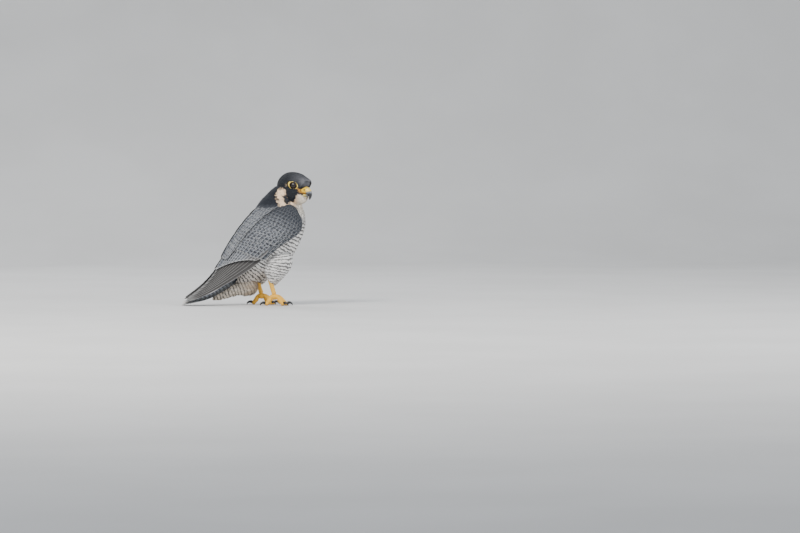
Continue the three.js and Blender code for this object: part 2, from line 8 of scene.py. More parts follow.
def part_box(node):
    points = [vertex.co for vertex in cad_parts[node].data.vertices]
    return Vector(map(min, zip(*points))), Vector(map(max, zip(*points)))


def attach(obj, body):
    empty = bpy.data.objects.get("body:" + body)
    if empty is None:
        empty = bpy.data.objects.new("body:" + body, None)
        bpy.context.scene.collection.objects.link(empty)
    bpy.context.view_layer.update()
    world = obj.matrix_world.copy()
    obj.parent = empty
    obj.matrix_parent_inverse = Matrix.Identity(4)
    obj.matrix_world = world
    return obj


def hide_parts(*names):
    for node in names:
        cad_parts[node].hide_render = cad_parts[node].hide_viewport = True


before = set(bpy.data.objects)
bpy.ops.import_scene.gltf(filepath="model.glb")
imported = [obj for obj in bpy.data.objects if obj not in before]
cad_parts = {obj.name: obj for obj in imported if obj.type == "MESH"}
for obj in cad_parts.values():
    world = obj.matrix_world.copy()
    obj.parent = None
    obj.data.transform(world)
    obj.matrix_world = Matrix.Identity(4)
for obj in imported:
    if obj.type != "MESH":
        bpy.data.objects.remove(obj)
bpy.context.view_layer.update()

chance = np.random.default_rng(11)

# Sizes shared with the solids, in millimetres: x forwards, y to the bird's left, z up
HEAD_CENTRE = np.array([47.0, -9.0, 253.0])
HEAD_TURN = math.radians(-50)
HEAD_NOD = math.radians(6)
FOREHEAD, NAPE, CHEEK, CROWN, THROAT = 38.0, 42.0, 28.5, 33.0, 37.0
EYE_AT = np.array([13.2, 15.6, 6.4])
EYE_LOOKS = np.array([0.42, 0.9, 0.03])
EYE_DROOP = math.radians(14)
EYE_RADIUS, PUPIL_RADIUS, IRIS_RADIUS = 8.2, 3.1, 6.1
LID_OUTER, LID_POINT, LID_CORNER, LID_FALL = 8.8, 6.2, 3.6, 1 / 90
# The rim of the bare ring round the eye: distance from its middle, and height
LID_RIM = [
    (8.15, 3),
    (8.8, 3),
    (8.9, 4.2),
    (8.8, 5.3),
    (8.2, 6.0),
    (7.5, 6.2),
    (7.2, 5.9),
    (7.3, 5.3),
    (7.7, 4.2),
]
# Rounded bodies: each station is its place, and how far it reaches to the side, front and back
TRUNK = [
    (46, -6, 272, 16, 16, 20),
    (36, -2, 254, 22, 24, 20),
    (25, 0, 232, 30, 43, 32),
    (14, 0, 204, 39, 62, 45),
    (0, 0, 165, 45, 67, 53),
    (-22, 0, 122, 44, 63, 48),
    (-45, 0, 86, 35, 42, 37),
    (-66, 0, 63, 21, 28, 20),
    (-84, 0, 53, 12, 14, 11),
]
THIGH = [
    (4, 0, 116, 18, 30, 28),
    (6, 0, 94, 21, 33, 30),
    (2, 0, 72, 17, 25, 25),
    (0, 0, 56, 11, 15, 15),
    (1, 0, 44, 5, 7, 7),
]
UNDERTAIL = [
    (-34, 0, 56, 18, 20, 14),
    (-54, 0, 43, 20, 22, 16),
    (-78, 0, 34, 17, 12, 14),
    (-102, 0, 24, 14, 7.5, 10),
    (-126, 0, 14, 9, 3.5, 7),
]
TARSUS = [
    (-11, 0, 62, 5.4, 5.6, 5.6),
    (-7, 0, 48, 4.6, 4.8, 5),
    (-3, 0, 33, 4.6, 4.6, 4.8),
    (0, 0, 24, 5, 5, 5),
]
# Cere and bill, in the head's own frame
CERE = [
    (24, 0, -1.5, 11, 9, 9),
    (33, 0, -2, 9.2, 8, 8.5),
    (40, 0, -2.8, 7.6, 7.6, 7.4),
    (44, 0, -4.5, 6, 6, 5.5),
]
HOOK = [
    (32, 0, -2.5, 8, 7.6, 7.6),
    (39.5, 0, -3.1, 7.5, 7.5, 7.2),
    (45.6, 0, -6.5, 5.6, 5.7, 5.4),
    (48.8, 0, -12.8, 3.4, 3.7, 3.6),
    (47.6, 0, -21.5, 0.9, 1, 1),
]
JAW = [(18, 0, -12.5, 9, 4, 5), (32, 0, -12.7, 7.6, 4.4, 4.6), (45, 0, -11.6, 3.6, 3, 2.6)]
MOUTH, CERE_EDGE = -9.4, 40.5
NOSTRIL, NOSTRIL_REACH, NOSTRIL_DEPTH, TUBERCLE = (36.8, -1.2), 2.1, 2.4, 1.7
TOOTH, TOOTH_DEPTH = (44.6, -11.5), 0.8
GAP = 0.35
# Legs and feet
LEG_SPREAD = 27
FOOT_FORWARD = {-1: 2, 1: -20}
PALM_AT, PALM = (0, 0, 19), (8.4, 7.6, 6.6)
# Heading in degrees, reach, thickness and claw of each toe
TOES = {
    "inner": (40, 26, 4.9, 14),
    "middle": (3, 31, 4.8, 13),
    "outer": (-36, 28, 4.5, 12),
    "hind": (174, 21, 5, 15),
}
TOE_ARCH = [18.5, 19.4, 17, 11.4, 5.4, 1.7]
# The folded wing: its two edges from the wrist to the tip, its bulge, and the heights of its layers
WING_LOWER = [
    (61, 31, 186),
    (54, 45, 156),
    (8, 50, 124),
    (-35, 46, 86),
    (-80, 40, 56),
    (-134, 33, 26),
    (-183, 30, 4),
]
WING_UPPER = [
    (12, 17, 223),
    (-30, 10, 205),
    (-62, 8, 169),
    (-89, 7, 130),
    (-115, 8, 86),
    (-147, 15, 53),
    (-191, 22, 25),
]
WING_BULGE = [(8,), (15,), (17,), (13,), (8,), (4,), (1,)]
WRIST_BOW = 11
FIRST, SECONDARY_LAYER, FLIGHT, ARM = 0.5, 6, 8.4, 8.8
# Where the primaries end, along the wing and across it
PRIMARY_TIPS = [
    (0.985, 0.26),
    (1, 0.46),
    (0.955, 0.55),
    (0.9, 0.63),
    (0.845, 0.7),
    (0.79, 0.77),
    (0.735, 0.84),
]
# The tail: its line, its half widths, its length, how far its sides hang, and its thickness
TAIL = [(-66, 0, 62), (-100, 0, 36), (-140, 0, 15.5), (-196, 0, 3.1)]
TAIL_ROOT_HALF, TAIL_TIP_HALF, TAIL_LENGTH, TAIL_ROOF, TAIL_THICK = 15, 26, 148, 5, 5.2
SIDES = {-1: "right", 1: "left"}

# The coat: how deep the skin lies, how far apart the dark bars are, and how fine the melted skins are
COAT_DEPTH = 1.3
BAR_STEP, THIGH_STEP, VENT_STEP = 6.8, 6.2, 6.5
LEAF_THICK, LEAF_CURL = 0.22, 0.3
SKIN_GRAIN, FOOT_GRAIN = 0.0017, 0.00048
# Each small feather's patch on the skin's map
PATCH = 0.003
# Large feathers
PRIMARIES, SECONDARIES, TAIL_PAIRS, VANE_THICK = 10, 12, 6, 0.3
# The size of the head that its swellings are given on
HEAD_SIZE = 30

# Colours of the plumage, linear
HOOD = np.array([0.014, 0.016, 0.021])
# Forehead and forecrown: a paler grey, partly their own colour and partly painted sheen where light falls on
# the top of the head.
FOREHEAD_GREY_AND_SHEEN = np.array([0.085, 0.086, 0.095])
CREAM = np.array([0.86, 0.63, 0.42])
CHIN_WHITE = np.array([0.92, 0.84, 0.71])
BREAST = np.array([0.76, 0.74, 0.71])
LORES_ORANGE = np.array([0.66, 0.33, 0.06])
BUFF = np.array([0.36, 0.28, 0.20])
UNDERTAIL_CREAM = np.array([0.60, 0.52, 0.42])
SLATE = np.array([0.034, 0.038, 0.047])
BLUE_GREY = np.array([0.145, 0.154, 0.172])
FLIGHT_BROWN = np.array([0.066, 0.062, 0.060])
TAIL_SLATE = np.array([0.030, 0.034, 0.042])
MARK = np.array([0.016, 0.017, 0.021])
BAR = np.array([0.032, 0.030, 0.030])
TAIL_BAND = np.array([0.17, 0.19, 0.22])
TAIL_TIP = np.array([0.42, 0.34, 0.25])

# Colours of the bare parts, linear
PUPIL = np.array([0.002, 0.002, 0.002])
IRIS = np.array([0.020, 0.009, 0.004])
EYE_EDGE = np.array([0.008, 0.005, 0.004])
# Dark inner edge of the eye's ring, its own colour; also painted shade along the lower bill's top edge at the
# mouth.
LID_DARK_AND_MOUTH_SHADE = np.array([0.02, 0.012, 0.006])
LID_YELLOW = np.array([0.92, 0.66, 0.13])
CERE_YELLOW = np.array([0.90, 0.56, 0.03])
CERE_ORANGE = np.array([0.80, 0.33, 0.03])
# Painted shade: dark colour for the nostril's hollow and for the cere's lowest edge along the mouth.
NOSTRIL_AND_MOUTH_SHADE = np.array([0.02, 0.01, 0.005])
BILL_YELLOW = np.array([0.86, 0.60, 0.11])
BILL_SLATE = np.array([0.17, 0.19, 0.21])
BILL_BLACK = np.array([0.012, 0.013, 0.016])
JAW_YELLOW = np.array([0.62, 0.50, 0.13])
JAW_SLATE = np.array([0.10, 0.11, 0.12])
GAPE_ORANGE = np.array([0.78, 0.34, 0.05])
TOE_YELLOW = np.array([0.86, 0.45, 0.035])
# Painted shade: the toes' colour near the floor, a darker copy of the toe yellow.
SHADED_TOE_YELLOW = np.array([0.62, 0.33, 0.05])
SHANK_YELLOW = np.array([0.84, 0.46, 0.05])
CLAW_BLACK = np.array([0.014, 0.013, 0.013])


# Plain helpers on whole arrays
def unit(a):
    """Each vector divided by its own length."""
    return a / np.maximum(np.linalg.norm(a, axis=-1, keepdims=True), 1e-9)


def mix(a, b, share):
    """a + (b - a) share."""
    return a + (b - a) * share


def ease(x, low, high):
    """3k^2 - 2k^3 with k = (x - low) / (high - low), kept within 0 and 1."""
    k = np.clip((x - low) / (high - low), 0, 1)
    return k * k * (3 - 2 * k)


def bump(x, y, z, spread):
    """exp(-(x^2 + y^2 + z^2) / spread^2)."""
    return np.exp(-(x * x + y * y + z * z) / spread**2)


def along(points, t):
    """Even cubic spline through the points, t from 0 to 1: f of the way from b to c, between a and d,
    it is (2 b + (c - a) f + (2 a - 5 b + 4 c - d) f^2 + (3 b - a - 3 c + d) f^3) / 2."""
    p = np.asarray(points, float)
    p = np.vstack([2 * p[0] - p[1], p, 2 * p[-1] - p[-2]])
    last = len(points) - 1
    x = np.clip(t, 0, 1) * last
    i = np.minimum(x.astype(int), last - 1)
    f = (x - i)[..., None]
    a, b, c, d = p[i], p[i + 1], p[i + 2], p[i + 3]
    return 0.5 * (2 * b + (c - a) * f + (2 * a - 5 * b + 4 * c - d) * f**2 + (3 * b - a - 3 * c + d) * f**3)


def tangent(points, t):
    """Direction of the spline: the unit vector of along(t + e) - along(t - e)."""
    return unit(along(points, t + 1e-3) - along(points, t - 1e-3))


# Surfaces: each takes a turn round the form and a share along it
def body(stations, dome=0.12, sideways=(0, 1, 0), grow=0.0, at=(0, 0, 0)):
    """Spine + side sin(turn) reach dip + front cos(turn) reach dip, with dip = sqrt(1 - (1 - t / dome)^2)
    at both ends."""
    spine = [s[:3] for s in stations]
    girth = [s[3:] for s in stations]

    def surface(turn, t):
        turn, t = np.broadcast_arrays(np.asarray(turn, float), np.asarray(t, float))
        way = tangent(spine, t)
        front = unit(np.cross(way, np.asarray(sideways, float)))
        side = np.cross(front, way)
        reach = along(girth, t)
        first = np.sqrt(np.maximum(0, 1 - np.maximum(0, 1 - t / dome) ** 2))
        final = np.sqrt(np.maximum(0, 1 - np.maximum(0, 1 - (1 - t) / dome) ** 2))
        dip = np.minimum(first, final)
        out = np.where(np.cos(turn) >= 0, reach[..., 1], reach[..., 2])
        move = side * (np.sin(turn) * (reach[..., 0] + grow) * dip)[..., None]
        move += front * (np.cos(turn) * (out + grow) * dip)[..., None]
        return along(spine, t) + way * (grow * (first - final))[..., None] + move + np.asarray(at, float)

    return surface


def head_swell(ahead, aside, up):
    """How far the head reaches along a direction, as a share: 1 + the sum of height exp(-(far / spread)^2).
    Brow, cheeks and chin stand out, and the eye's hollow and socket, the lores and the crown lie in."""
    side = np.abs(aside)
    hollow = 5.4 * bump(ahead - 0.42, side - 0.82, up - 0.14, 0.4)
    brow = 5.2 * bump(ahead - 0.82, side - 0.42, up - 0.42, 0.27)
    cheek = 1.6 * bump(ahead - 0.1, side - 0.8, up + 0.5, 0.35)
    chin = 4.2 * bump(ahead - 0.78, aside, up + 0.62, 0.34)
    lores = 3.4 * bump(ahead - 0.86, side - 0.42, up + 0.06, 0.22)
    flat = 1.5 * bump(ahead - 0.1, aside, up - 1, 0.45)
    socket = 2.6 * bump(ahead - 0.74, side - 0.6, up - 0.26, 0.2)
    return 1 + (brow + cheek + chin - flat - hollow - lores - socket) / HEAD_SIZE


def head_form(grow=0.0):
    """(ahead length, aside cheek, up height) (swell + grow / size), with ahead = cos(pi t) from the face and
    (aside, up) = sin(pi t) (sin(turn), cos(turn)) from the crown."""

    def surface(turn, t):
        turn, t = np.broadcast_arrays(np.asarray(turn, float), np.asarray(t, float))
        ahead = np.cos(np.pi * t)
        aside = np.sin(np.pi * t) * np.sin(turn)
        up = np.sin(np.pi * t) * np.cos(turn)
        far = head_swell(ahead, aside, up) + grow / HEAD_SIZE
        x = ahead * np.where(ahead > 0, FOREHEAD, NAPE) * far
        y = aside * CHEEK * far
        z = up * np.where(up > 0, CROWN, THROAT) * far
        return from_head(np.stack([x, y, z], -1))

    return surface


def spin(turn, nod):
    """Rotation about the upright by turn, after one about the left-pointing line by nod."""
    c, s, a, b = math.cos(turn), math.sin(turn), math.cos(nod), math.sin(nod)
    return np.array([[c, -s, 0], [s, c, 0], [0, 0, 1]]) @ np.array([[a, 0, b], [0, 1, 0], [-b, 0, a]])


HEAD_SPIN = spin(HEAD_TURN, HEAD_NOD)


def from_head(p):
    """From the head's own frame to the bird's."""
    return p @ HEAD_SPIN.T + HEAD_CENTRE


def to_head(p):
    """From the bird's frame to the head's own."""
    return (p - HEAD_CENTRE) @ HEAD_SPIN


def outside_head(p):
    """About how far a point lies outside the head, in millimetres: size (|r| - swell(r))."""
    x, y, z = np.moveaxis(to_head(p), -1, 0)
    r = np.stack([x / np.where(x > 0, FOREHEAD, NAPE), y / CHEEK, z / np.where(z > 0, CROWN, THROAT)], -1)
    reach = np.linalg.norm(r, axis=-1)
    return HEAD_SIZE * (reach - head_swell(*np.moveaxis(unit(r), -1, 0)))


def coordinates(stations, p, sideways=(0, 1, 0)):
    """Where points lie on a rounded body: the share along its spine, the turn arctan(side / front), and
    the distance over the reach there."""
    t = np.linspace(0, 1, 61)
    spine = along([s[:3] for s in stations], t)
    flat = p.reshape(-1, 3)
    near = np.concatenate([
        np.argmin(((part[:, None] - spine[None]) ** 2).sum(-1), axis=1)
        for part in np.array_split(flat, max(1, len(flat) // 40000))
    ])
    share = t[near]
    way = tangent([s[:3] for s in stations], share)
    front = unit(np.cross(way, np.asarray(sideways, float)))
    side = np.cross(front, way)
    off = flat - spine[near]
    reach = along([s[3:] for s in stations], share)
    x, y = (off * side).sum(-1), (off * front).sum(-1)
    ends = np.abs((off * way).sum(-1))
    ratio = np.hypot(x / reach[:, 0], y / np.where(y > 0, reach[:, 1], reach[:, 2])) + ends / 12
    shape = p.shape[:-1]
    return share.reshape(shape), np.arctan2(x, y).reshape(shape), ratio.reshape(shape)


# The folded wing: u from the wrist to the tip, v from its lower to its upper edge
def on_sheet(u, v):
    """low + span v + outward bulge sin(pi v) - run bow sin(pi v)."""
    low = along(WING_LOWER, u)
    span = along(WING_UPPER, u) - low
    run = mix(tangent(WING_LOWER, u), tangent(WING_UPPER, u), v[..., None])
    outward = unit(np.cross(run, span))
    arch = np.sin(np.pi * np.clip(v, 0, 1))
    bow = WRIST_BOW * arch * (1 - ease(u, 0, 0.22))
    bulge = outward * (along(WING_BULGE, u) * arch[..., None])
    return low + span * v[..., None] + bulge - unit(run) * bow[..., None]


def on_wing(u, v, height):
    """The sheet + normal (first + (height - first) edge wrist)."""
    u, v, height = np.broadcast_arrays(u, v, height)
    step = 0.004
    run = on_sheet(u + step, v) - on_sheet(u - step, v)
    rise = on_sheet(u, v + step) - on_sheet(u, v - step)
    edge = 0.72 + 0.28 * ease(v, 0, 0.3) * ease(1 - v, 0, 0.2)
    wrist = 0.6 + 0.4 * ease(u, 0, 0.12)
    raised = FIRST + (height - FIRST) * edge * wrist
    return on_sheet(u, v) + unit(np.cross(run, rise)) * raised[..., None]


def wing_width(u):
    """Distance between the wing's two edges."""
    return np.linalg.norm(along(WING_UPPER, u) - along(WING_LOWER, u), axis=-1)


def arm_end(v):
    """Where the covert-covered arm ends: mix(0.36, 0.46, v)."""
    return mix(0.36, 0.46, v)


def arm_top(u, v):
    """Height of the rounded arm: first + (arm - first) sqrt(sin(pi v)) sqrt(0.08 + share / 0.18)."""
    share = np.clip((u - 0.004) / (arm_end(v) - 0.004), 0, 1)
    edge = np.sqrt(np.sin(np.pi * mix(0.02, 0.98, np.clip(v, 0, 1))))
    return FIRST + (ARM - FIRST) * edge * np.sqrt(np.minimum(1, 0.08 + share / 0.18))


def on_tail(u, aside, height):
    """line(u) + (0, aside, 0) + up (height - roof (aside / half)^2)."""
    u, aside, height = np.broadcast_arrays(u, aside, height)
    inside = np.clip(u, 0, 1)
    way = tangent(TAIL, inside)
    up = -unit(np.cross(np.array([0.0, 1.0, 0.0]), way))
    roof = TAIL_ROOF * (1 - 0.55 * u) * (aside / mix(TAIL_ROOT_HALF, TAIL_TIP_HALF, u)) ** 2
    across = np.stack([np.zeros_like(aside), aside, np.zeros_like(aside)], -1)
    line = along(TAIL, inside) + way * ((u - inside) * TAIL_LENGTH)[..., None]
    return line + across + up * (height - roof)[..., None]


# Where the bird stands in the shared frame, from the eyes' boxes
def box_middle(node):
    """Middle of a node's box in millimetres."""
    low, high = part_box(node)
    return (np.array(low) + np.array(high)) * 500


eyes_middle = (box_middle("eye_right") + box_middle("eye_left")) / 2
SHIFT = eyes_middle - from_head(np.array([EYE_AT[0], 0.0, EYE_AT[2]]))
SHIFT[2] = 0


# Meshes
def add_piece(name, points, quads, triangles=None, material=None, slot=None, stands_for=(), rims=None):
    """A mesh object from whole arrays: points in millimetres, quads and triangles as rows of indices."""
    mesh = bpy.data.meshes.new(name)
    parts = [(quads, 4)] + ([(triangles, 3)] if triangles is not None and len(triangles) else [])
    loops = np.concatenate([part.ravel() for part, _ in parts]).astype(np.int32)
    sizes = np.concatenate([np.full(len(part), corners) for part, corners in parts])
    starts = np.concatenate([[0], np.cumsum(sizes)[:-1]]).astype(np.int32)
    mesh.vertices.add(len(points))
    mesh.vertices.foreach_set("co", ((points + SHIFT) / 1000).astype(np.float32).ravel())
    mesh.loops.add(len(loops))
    mesh.loops.foreach_set("vertex_index", loops)
    mesh.polygons.add(len(sizes))
    mesh.polygons.foreach_set("loop_start", starts)
    mesh.update(calc_edges=True)
    mesh.polygons.foreach_set("use_smooth", np.ones(len(sizes), bool))
    if rims is not None:
        ends = np.empty(len(mesh.edges) * 2, np.int32)
        mesh.edges.foreach_get("vertices", ends)
        ends = ends.reshape(-1, 2)
        mesh.attributes.new("sharp_edge", "BOOLEAN", "EDGE").data.foreach_set("value", rims[ends].all(1))
    piece = bpy.data.objects.new(name, mesh)
    bpy.context.scene.collection.objects.link(piece)
    if material:
        mesh.materials.append(material)
    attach(piece, "root")
    if stands_for:
        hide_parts(*stands_for)
    return piece


def add_colour(piece, name, values):
    """A colour for each vertex."""
    layer = piece.data.attributes.new(name, "FLOAT_COLOR", "POINT")
    four = np.concatenate([values, np.ones((len(values), 1))], 1)
    layer.data.foreach_set("color", four.astype(np.float32).ravel())


def add_vector(piece, name, values):
    """A vector for each vertex."""
    layer = piece.data.attributes.new(name, "FLOAT_VECTOR", "POINT")
    layer.data.foreach_set("vector", values.astype(np.float32).ravel())


def add_map(piece, name, values):
    """A UV map from one pair of numbers for each vertex."""
    mesh = piece.data
    corner = np.empty(len(mesh.loops), np.int32)
    mesh.loops.foreach_get("vertex_index", corner)
    mesh.uv_layers.new(name=name).data.foreach_set("uv", values[corner].astype(np.float32).ravel())


def closed(surface, around, count):
    """A closed grid of a surface: rings from one pole to the other, at t = 0.45 k + 0.55 (1 - cos(pi k)) / 2,
    and a point at each pole."""
    share = np.arange(1, count) / count
    t = 0.45 * share + 0.55 * (0.5 - 0.5 * np.cos(np.pi * share))
    turn = np.arange(around) * 2 * np.pi / around
    rings = surface(turn[None, :], t[:, None])
    poles = [surface(np.array([0.0]), np.array([end])) for end in (0.0, 1.0)]
    points = np.concatenate([rings.reshape(-1, 3), poles[0], poles[1]])
    ids = np.arange(around * (count - 1)).reshape(count - 1, around)
    beside = np.roll(ids, -1, axis=1)
    quads = np.stack([ids[:-1], beside[:-1], beside[1:], ids[1:]], -1).reshape(-1, 4)
    first, last = ids.size, ids.size + 1
    caps = [
        np.stack([np.full(around, first), beside[0], ids[0]], -1),
        np.stack([np.full(around, last), ids[-1], beside[-1]], -1),
    ]
    triangles = np.concatenate(caps)
    a, b, c = (points[triangles[:, k]] for k in range(3))
    d, e, f, g = (points[quads[:, k]] for k in range(4))
    volume = np.einsum("ij,ij->", a, np.cross(b, c)) + np.einsum("ij,ij->", d, np.cross(e, f))
    volume += np.einsum("ij,ij->", d, np.cross(f, g))
    if volume < 0:
        quads, triangles = quads[:, ::-1], triangles[:, ::-1]
    return points, quads, triangles


def joined(forms):
    """Several closed grids as one set of arrays."""
    points, quads, triangles, start = [], [], [], 0
    for p, q, t in forms:
        points.append(p)
        quads.append(q + start)
        triangles.append(t + start)
        start += len(p)
    return np.concatenate(points), np.concatenate(quads), np.concatenate(triangles)


def leaves(top, under):
    """Closed thin leaves from grids (leaf, row, column): the lower face has inner points of its own and
    shares the rim."""
    count, rows, columns = top.shape[:3]
    inner = (rows - 2) * (columns - 2)
    size = rows * columns + inner
    upper = np.arange(rows * columns).reshape(rows, columns)
    lower = upper.copy()
    lower[1:-1, 1:-1] = rows * columns + np.arange(inner).reshape(rows - 2, columns - 2)
    face = [upper[:-1, :-1], upper[:-1, 1:], upper[1:, 1:], upper[1:, :-1]]
    back = [lower[:-1, :-1], lower[1:, :-1], lower[1:, 1:], lower[:-1, 1:]]
    quads = np.concatenate([np.stack(part, -1).reshape(-1, 4) for part in (face, back)])
    points = np.concatenate([top.reshape(count, -1, 3), under[:, 1:-1, 1:-1].reshape(count, -1, 3)], 1)
    r, c = rows // 2, columns // 2
    normal = np.cross(top[:, r, c] - top[:, r, c - 1], top[:, r, c] - top[:, r - 1, c])
    if np.einsum("ij,ij->", normal, top[:, r, c] - under[:, r, c]) > 0:
        quads = quads[:, ::-1]
    rim = np.zeros(size, bool)
    rim[upper[0]] = rim[upper[-1]] = rim[upper[:, 0]] = rim[upper[:, -1]] = True
    quads = (quads[None] + (np.arange(count) * size)[:, None, None]).reshape(-1, 4)
    return points.reshape(-1, 3), quads, np.tile(rim, count)


def spread(values):
    """Values on the leaf grid (leaf, row, column, ...) laid out as the points of leaves()."""
    count = values.shape[0]
    rest = values.shape[3:]
    whole = values.reshape((count, -1) + rest)
    inner = values[:, 1:-1, 1:-1].reshape((count, -1) + rest)
    return np.concatenate([whole, inner], 1).reshape((-1,) + rest)


def feather_piece(name, top, under, paint, bake, slot, stands_for=()):
    """A piece of many leaves. paint gives its colours and marks on the leaf grid, and bake the places on
    the shared map."""
    points, quads, rims = leaves(top, under)
    piece = add_piece(name, points, quads, material=PLUMAGE, slot=slot, stands_for=stands_for, rims=rims)
    shape = top.shape[:3]

    def stack(*parts):
        return spread(np.stack([np.broadcast_to(part, shape) for part in parts], -1))

    for key in ("tint", "mark"):
        add_colour(piece, key, spread(np.broadcast_to(paint[key], shape + (3,))))
    decimetres = np.linalg.norm(top[:, -1] - top[:, 0], axis=-1)[:, None] / 100
    add_vector(piece, "look", stack(paint["bars"], paint["phase"], paint["fringe"]))
    add_vector(piece, "more", stack(paint["streak"], decimetres, 0.0))
    add_map(piece, "OFBake", spread(bake))
    add_map(piece, "feather", stack(paint["q"], paint["s"]))
    return piece


def template(columns, rows, crowd=1.0):
    """Columns q from -1 to 1 and rows s from 0 to 1, closer together towards the tip as crowd grows."""
    q = np.linspace(-1, 1, columns)[None, None, :]
    s = 1 - (1 - np.linspace(0, 1, rows)) ** crowd
    return q, s[None, :, None]


def feather_width(s, widest, shoulder, blunt):
    """Half width over its largest: mix(0.6, 1, ease(s, 0, widest)) sqrt(1 - k^2), with
    k = (s - shoulder) / (1 - shoulder) past the shoulder, and the root kept above blunt."""
    k = np.maximum(0, (s - shoulder) / (1 - shoulder))
    return mix(0.6, 1, ease(s, 0, widest)) * np.sqrt(np.maximum(blunt, 1 - k**2))


def leaf_width(s):
    """A small body feather: feather_width with its shoulder at 0.62."""
    return feather_width(s, 0.35, 0.62, 0.015)


def vane_width(s):
    """A broad vane, as in the solids: feather_width with its shoulder at 0.74."""
    return feather_width(s, 0.3, 0.74, 0.02)


def pointed_width(s):
    """A pointed primary: feather_width with its shoulder at 0.62."""
    return feather_width(s, 0.3, 0.62, 0.012)


# Materials
class Nodes:
    """Small helper that adds shader nodes and links."""

    def __init__(self, name):
        self.material = bpy.data.materials.new(name)
        self.material.use_nodes = True
        self.tree = self.material.node_tree
        self.shader = self.tree.nodes["Principled BSDF"]

    def add(self, kind, **settings):
        node = self.tree.nodes.new(kind)
        for key, value in settings.items():
            setattr(node, key, value)
        return node

    def link(self, source, target):
        self.tree.links.new(source, target)

    def math(self, operation, a, b=None, c=None, clamp=False):
        node = self.add("ShaderNodeMath", operation=operation, use_clamp=clamp)
        for i, value in enumerate((a, b, c)):
            if value is None:
                continue
            if isinstance(value, (int, float)):
                node.inputs[i].default_value = value
            else:
                self.link(value, node.inputs[i])
        return node.outputs[0]

    def smooth(self, value, low, high):
        node = self.add("ShaderNodeMapRange", interpolation_type="SMOOTHSTEP")
        self.link(value, node.inputs["Value"])
        node.inputs["From Min"].default_value = low
        node.inputs["From Max"].default_value = high
        return node.outputs["Result"]

    def blend(self, share, a, b, kind="MIX"):
        node = self.add("ShaderNodeMix", data_type="RGBA", blend_type=kind)
        for socket, value in ((node.inputs[0], share), (node.inputs[6], a), (node.inputs[7], b)):
            if isinstance(value, (int, float)):
                socket.default_value = value
            elif isinstance(value, tuple):
                socket.default_value = value + (1.0,)
            else:
                self.link(value, socket)
        return node.outputs[2]

    def colour(self, name):
        return self.add("ShaderNodeAttribute", attribute_name=name).outputs["Color"]

    def parts(self, vector):
        node = self.add("ShaderNodeSeparateXYZ")
        self.link(vector, node.inputs[0])
        return node.outputs

    def vector(self, name):
        return self.parts(self.add("ShaderNodeAttribute", attribute_name=name).outputs["Vector"])

    def noise(self, scale, detail):
        node = self.add("ShaderNodeTexNoise")
        node.inputs["Scale"].default_value = scale
        node.inputs["Detail"].default_value = detail
        self.link(self.add("ShaderNodeTexCoord").outputs["Object"], node.inputs["Vector"])
        return node.outputs["Fac"]

    def bump(self, height, strength, distance):
        node = self.add("ShaderNodeBump")
        node.inputs["Strength"].default_value = strength
        node.inputs["Distance"].default_value = distance
        self.link(height, node.inputs["Height"])
        self.link(node.outputs["Normal"], self.shader.inputs["Normal"])

    def finish(self, roughness, **constants):
        self.shader.inputs["Roughness"].default_value = roughness
        for key, value in constants.items():
            self.shader.inputs[key.replace("_", " ")].default_value = value
        return self.material


def plumage():
    """Feather colour: tint, dark bars by phase, pale fringe at the rim, dark shaft, and barbs as bump."""
    n = Nodes("plumage")
    tint, mark = n.colour("tint"), n.colour("mark")
    bars, phase, fringe = n.vector("look")
    streaked, decimetres, _ = n.vector("more")
    u, v, _ = n.parts(n.add("ShaderNodeUVMap", uv_map="feather").outputs["UV"])
    side = n.math("ABSOLUTE", u)
    wave = n.math("MULTIPLY", n.noise(240.0, 2.0), 0.9)
    cycle = n.math("MULTIPLY", n.math("ADD", phase, wave), 2 * math.pi)
    bar = n.smooth(n.math("SINE", cycle), 0.05, 0.6)
    bar = n.math("MULTIPLY", bar, bars)
    streak = n.math("MULTIPLY", n.math("SUBTRACT", 1.0, n.smooth(side, 0.12, 0.4)), streaked)
    dark = n.math("MAXIMUM", bar, streak, clamp=True)
    colour = n.blend(dark, tint, mark)
    rim = n.math("MAXIMUM", n.smooth(side, 0.72, 1.0), n.smooth(v, 0.86, 1.0))
    pale = n.blend(0.72, tint, (0.62, 0.62, 0.60))
    colour = n.blend(n.math("MULTIPLY", rim, fringe, clamp=True), colour, pale)
    shaft = n.math("SUBTRACT", 1.0, n.smooth(side, 0.0, 0.07))
    colour = n.blend(n.math("MULTIPLY", shaft, 0.45), colour, mark)
    fine = n.smooth(n.noise(900.0, 4.0), 0.3, 0.7)
    colour = n.blend(n.math("MULTIPLY", fine, 0.22), colour, (0.5, 0.48, 0.46), "SOFT_LIGHT")
    n.link(colour, n.shader.inputs["Base Color"])
    slant = n.math("MULTIPLY_ADD", side, -0.03, n.math("MULTIPLY", v, decimetres))
    barbs = n.math("SINE", n.math("MULTIPLY", slant, 700.0))
    n.bump(n.math("ADD", n.math("MULTIPLY", barbs, 0.5), n.noise(2600.0, 2.0)), 0.35, 0.0002)
    return n.finish(0.72, Specular_IOR_Level=0.14, Sheen_Weight=0.03, Sheen_Roughness=0.5)


def painted(name, roughness, bump_scale, bump_depth, variation, **constants):
    """A surface whose colour is the tint attribute, with slight mottling and a fine cellular grain."""
    n = Nodes(name)
    tint = n.colour("tint")
    mottle = n.smooth(n.noise(320.0, 4.0), 0.3, 0.7)
    colour = n.blend(n.math("MULTIPLY", mottle, variation), tint, (0.25, 0.18, 0.10), "MULTIPLY")
    n.link(colour, n.shader.inputs["Base Color"])
    cells = n.add("ShaderNodeTexVoronoi", feature="DISTANCE_TO_EDGE")
    cells.inputs["Scale"].default_value = bump_scale
    n.link(n.add("ShaderNodeTexCoord").outputs["Object"], cells.inputs["Vector"])
    n.bump(n.smooth(cells.outputs["Distance"], 0.0, 0.25), 0.6, bump_depth)
    return n.finish(roughness, **constants)


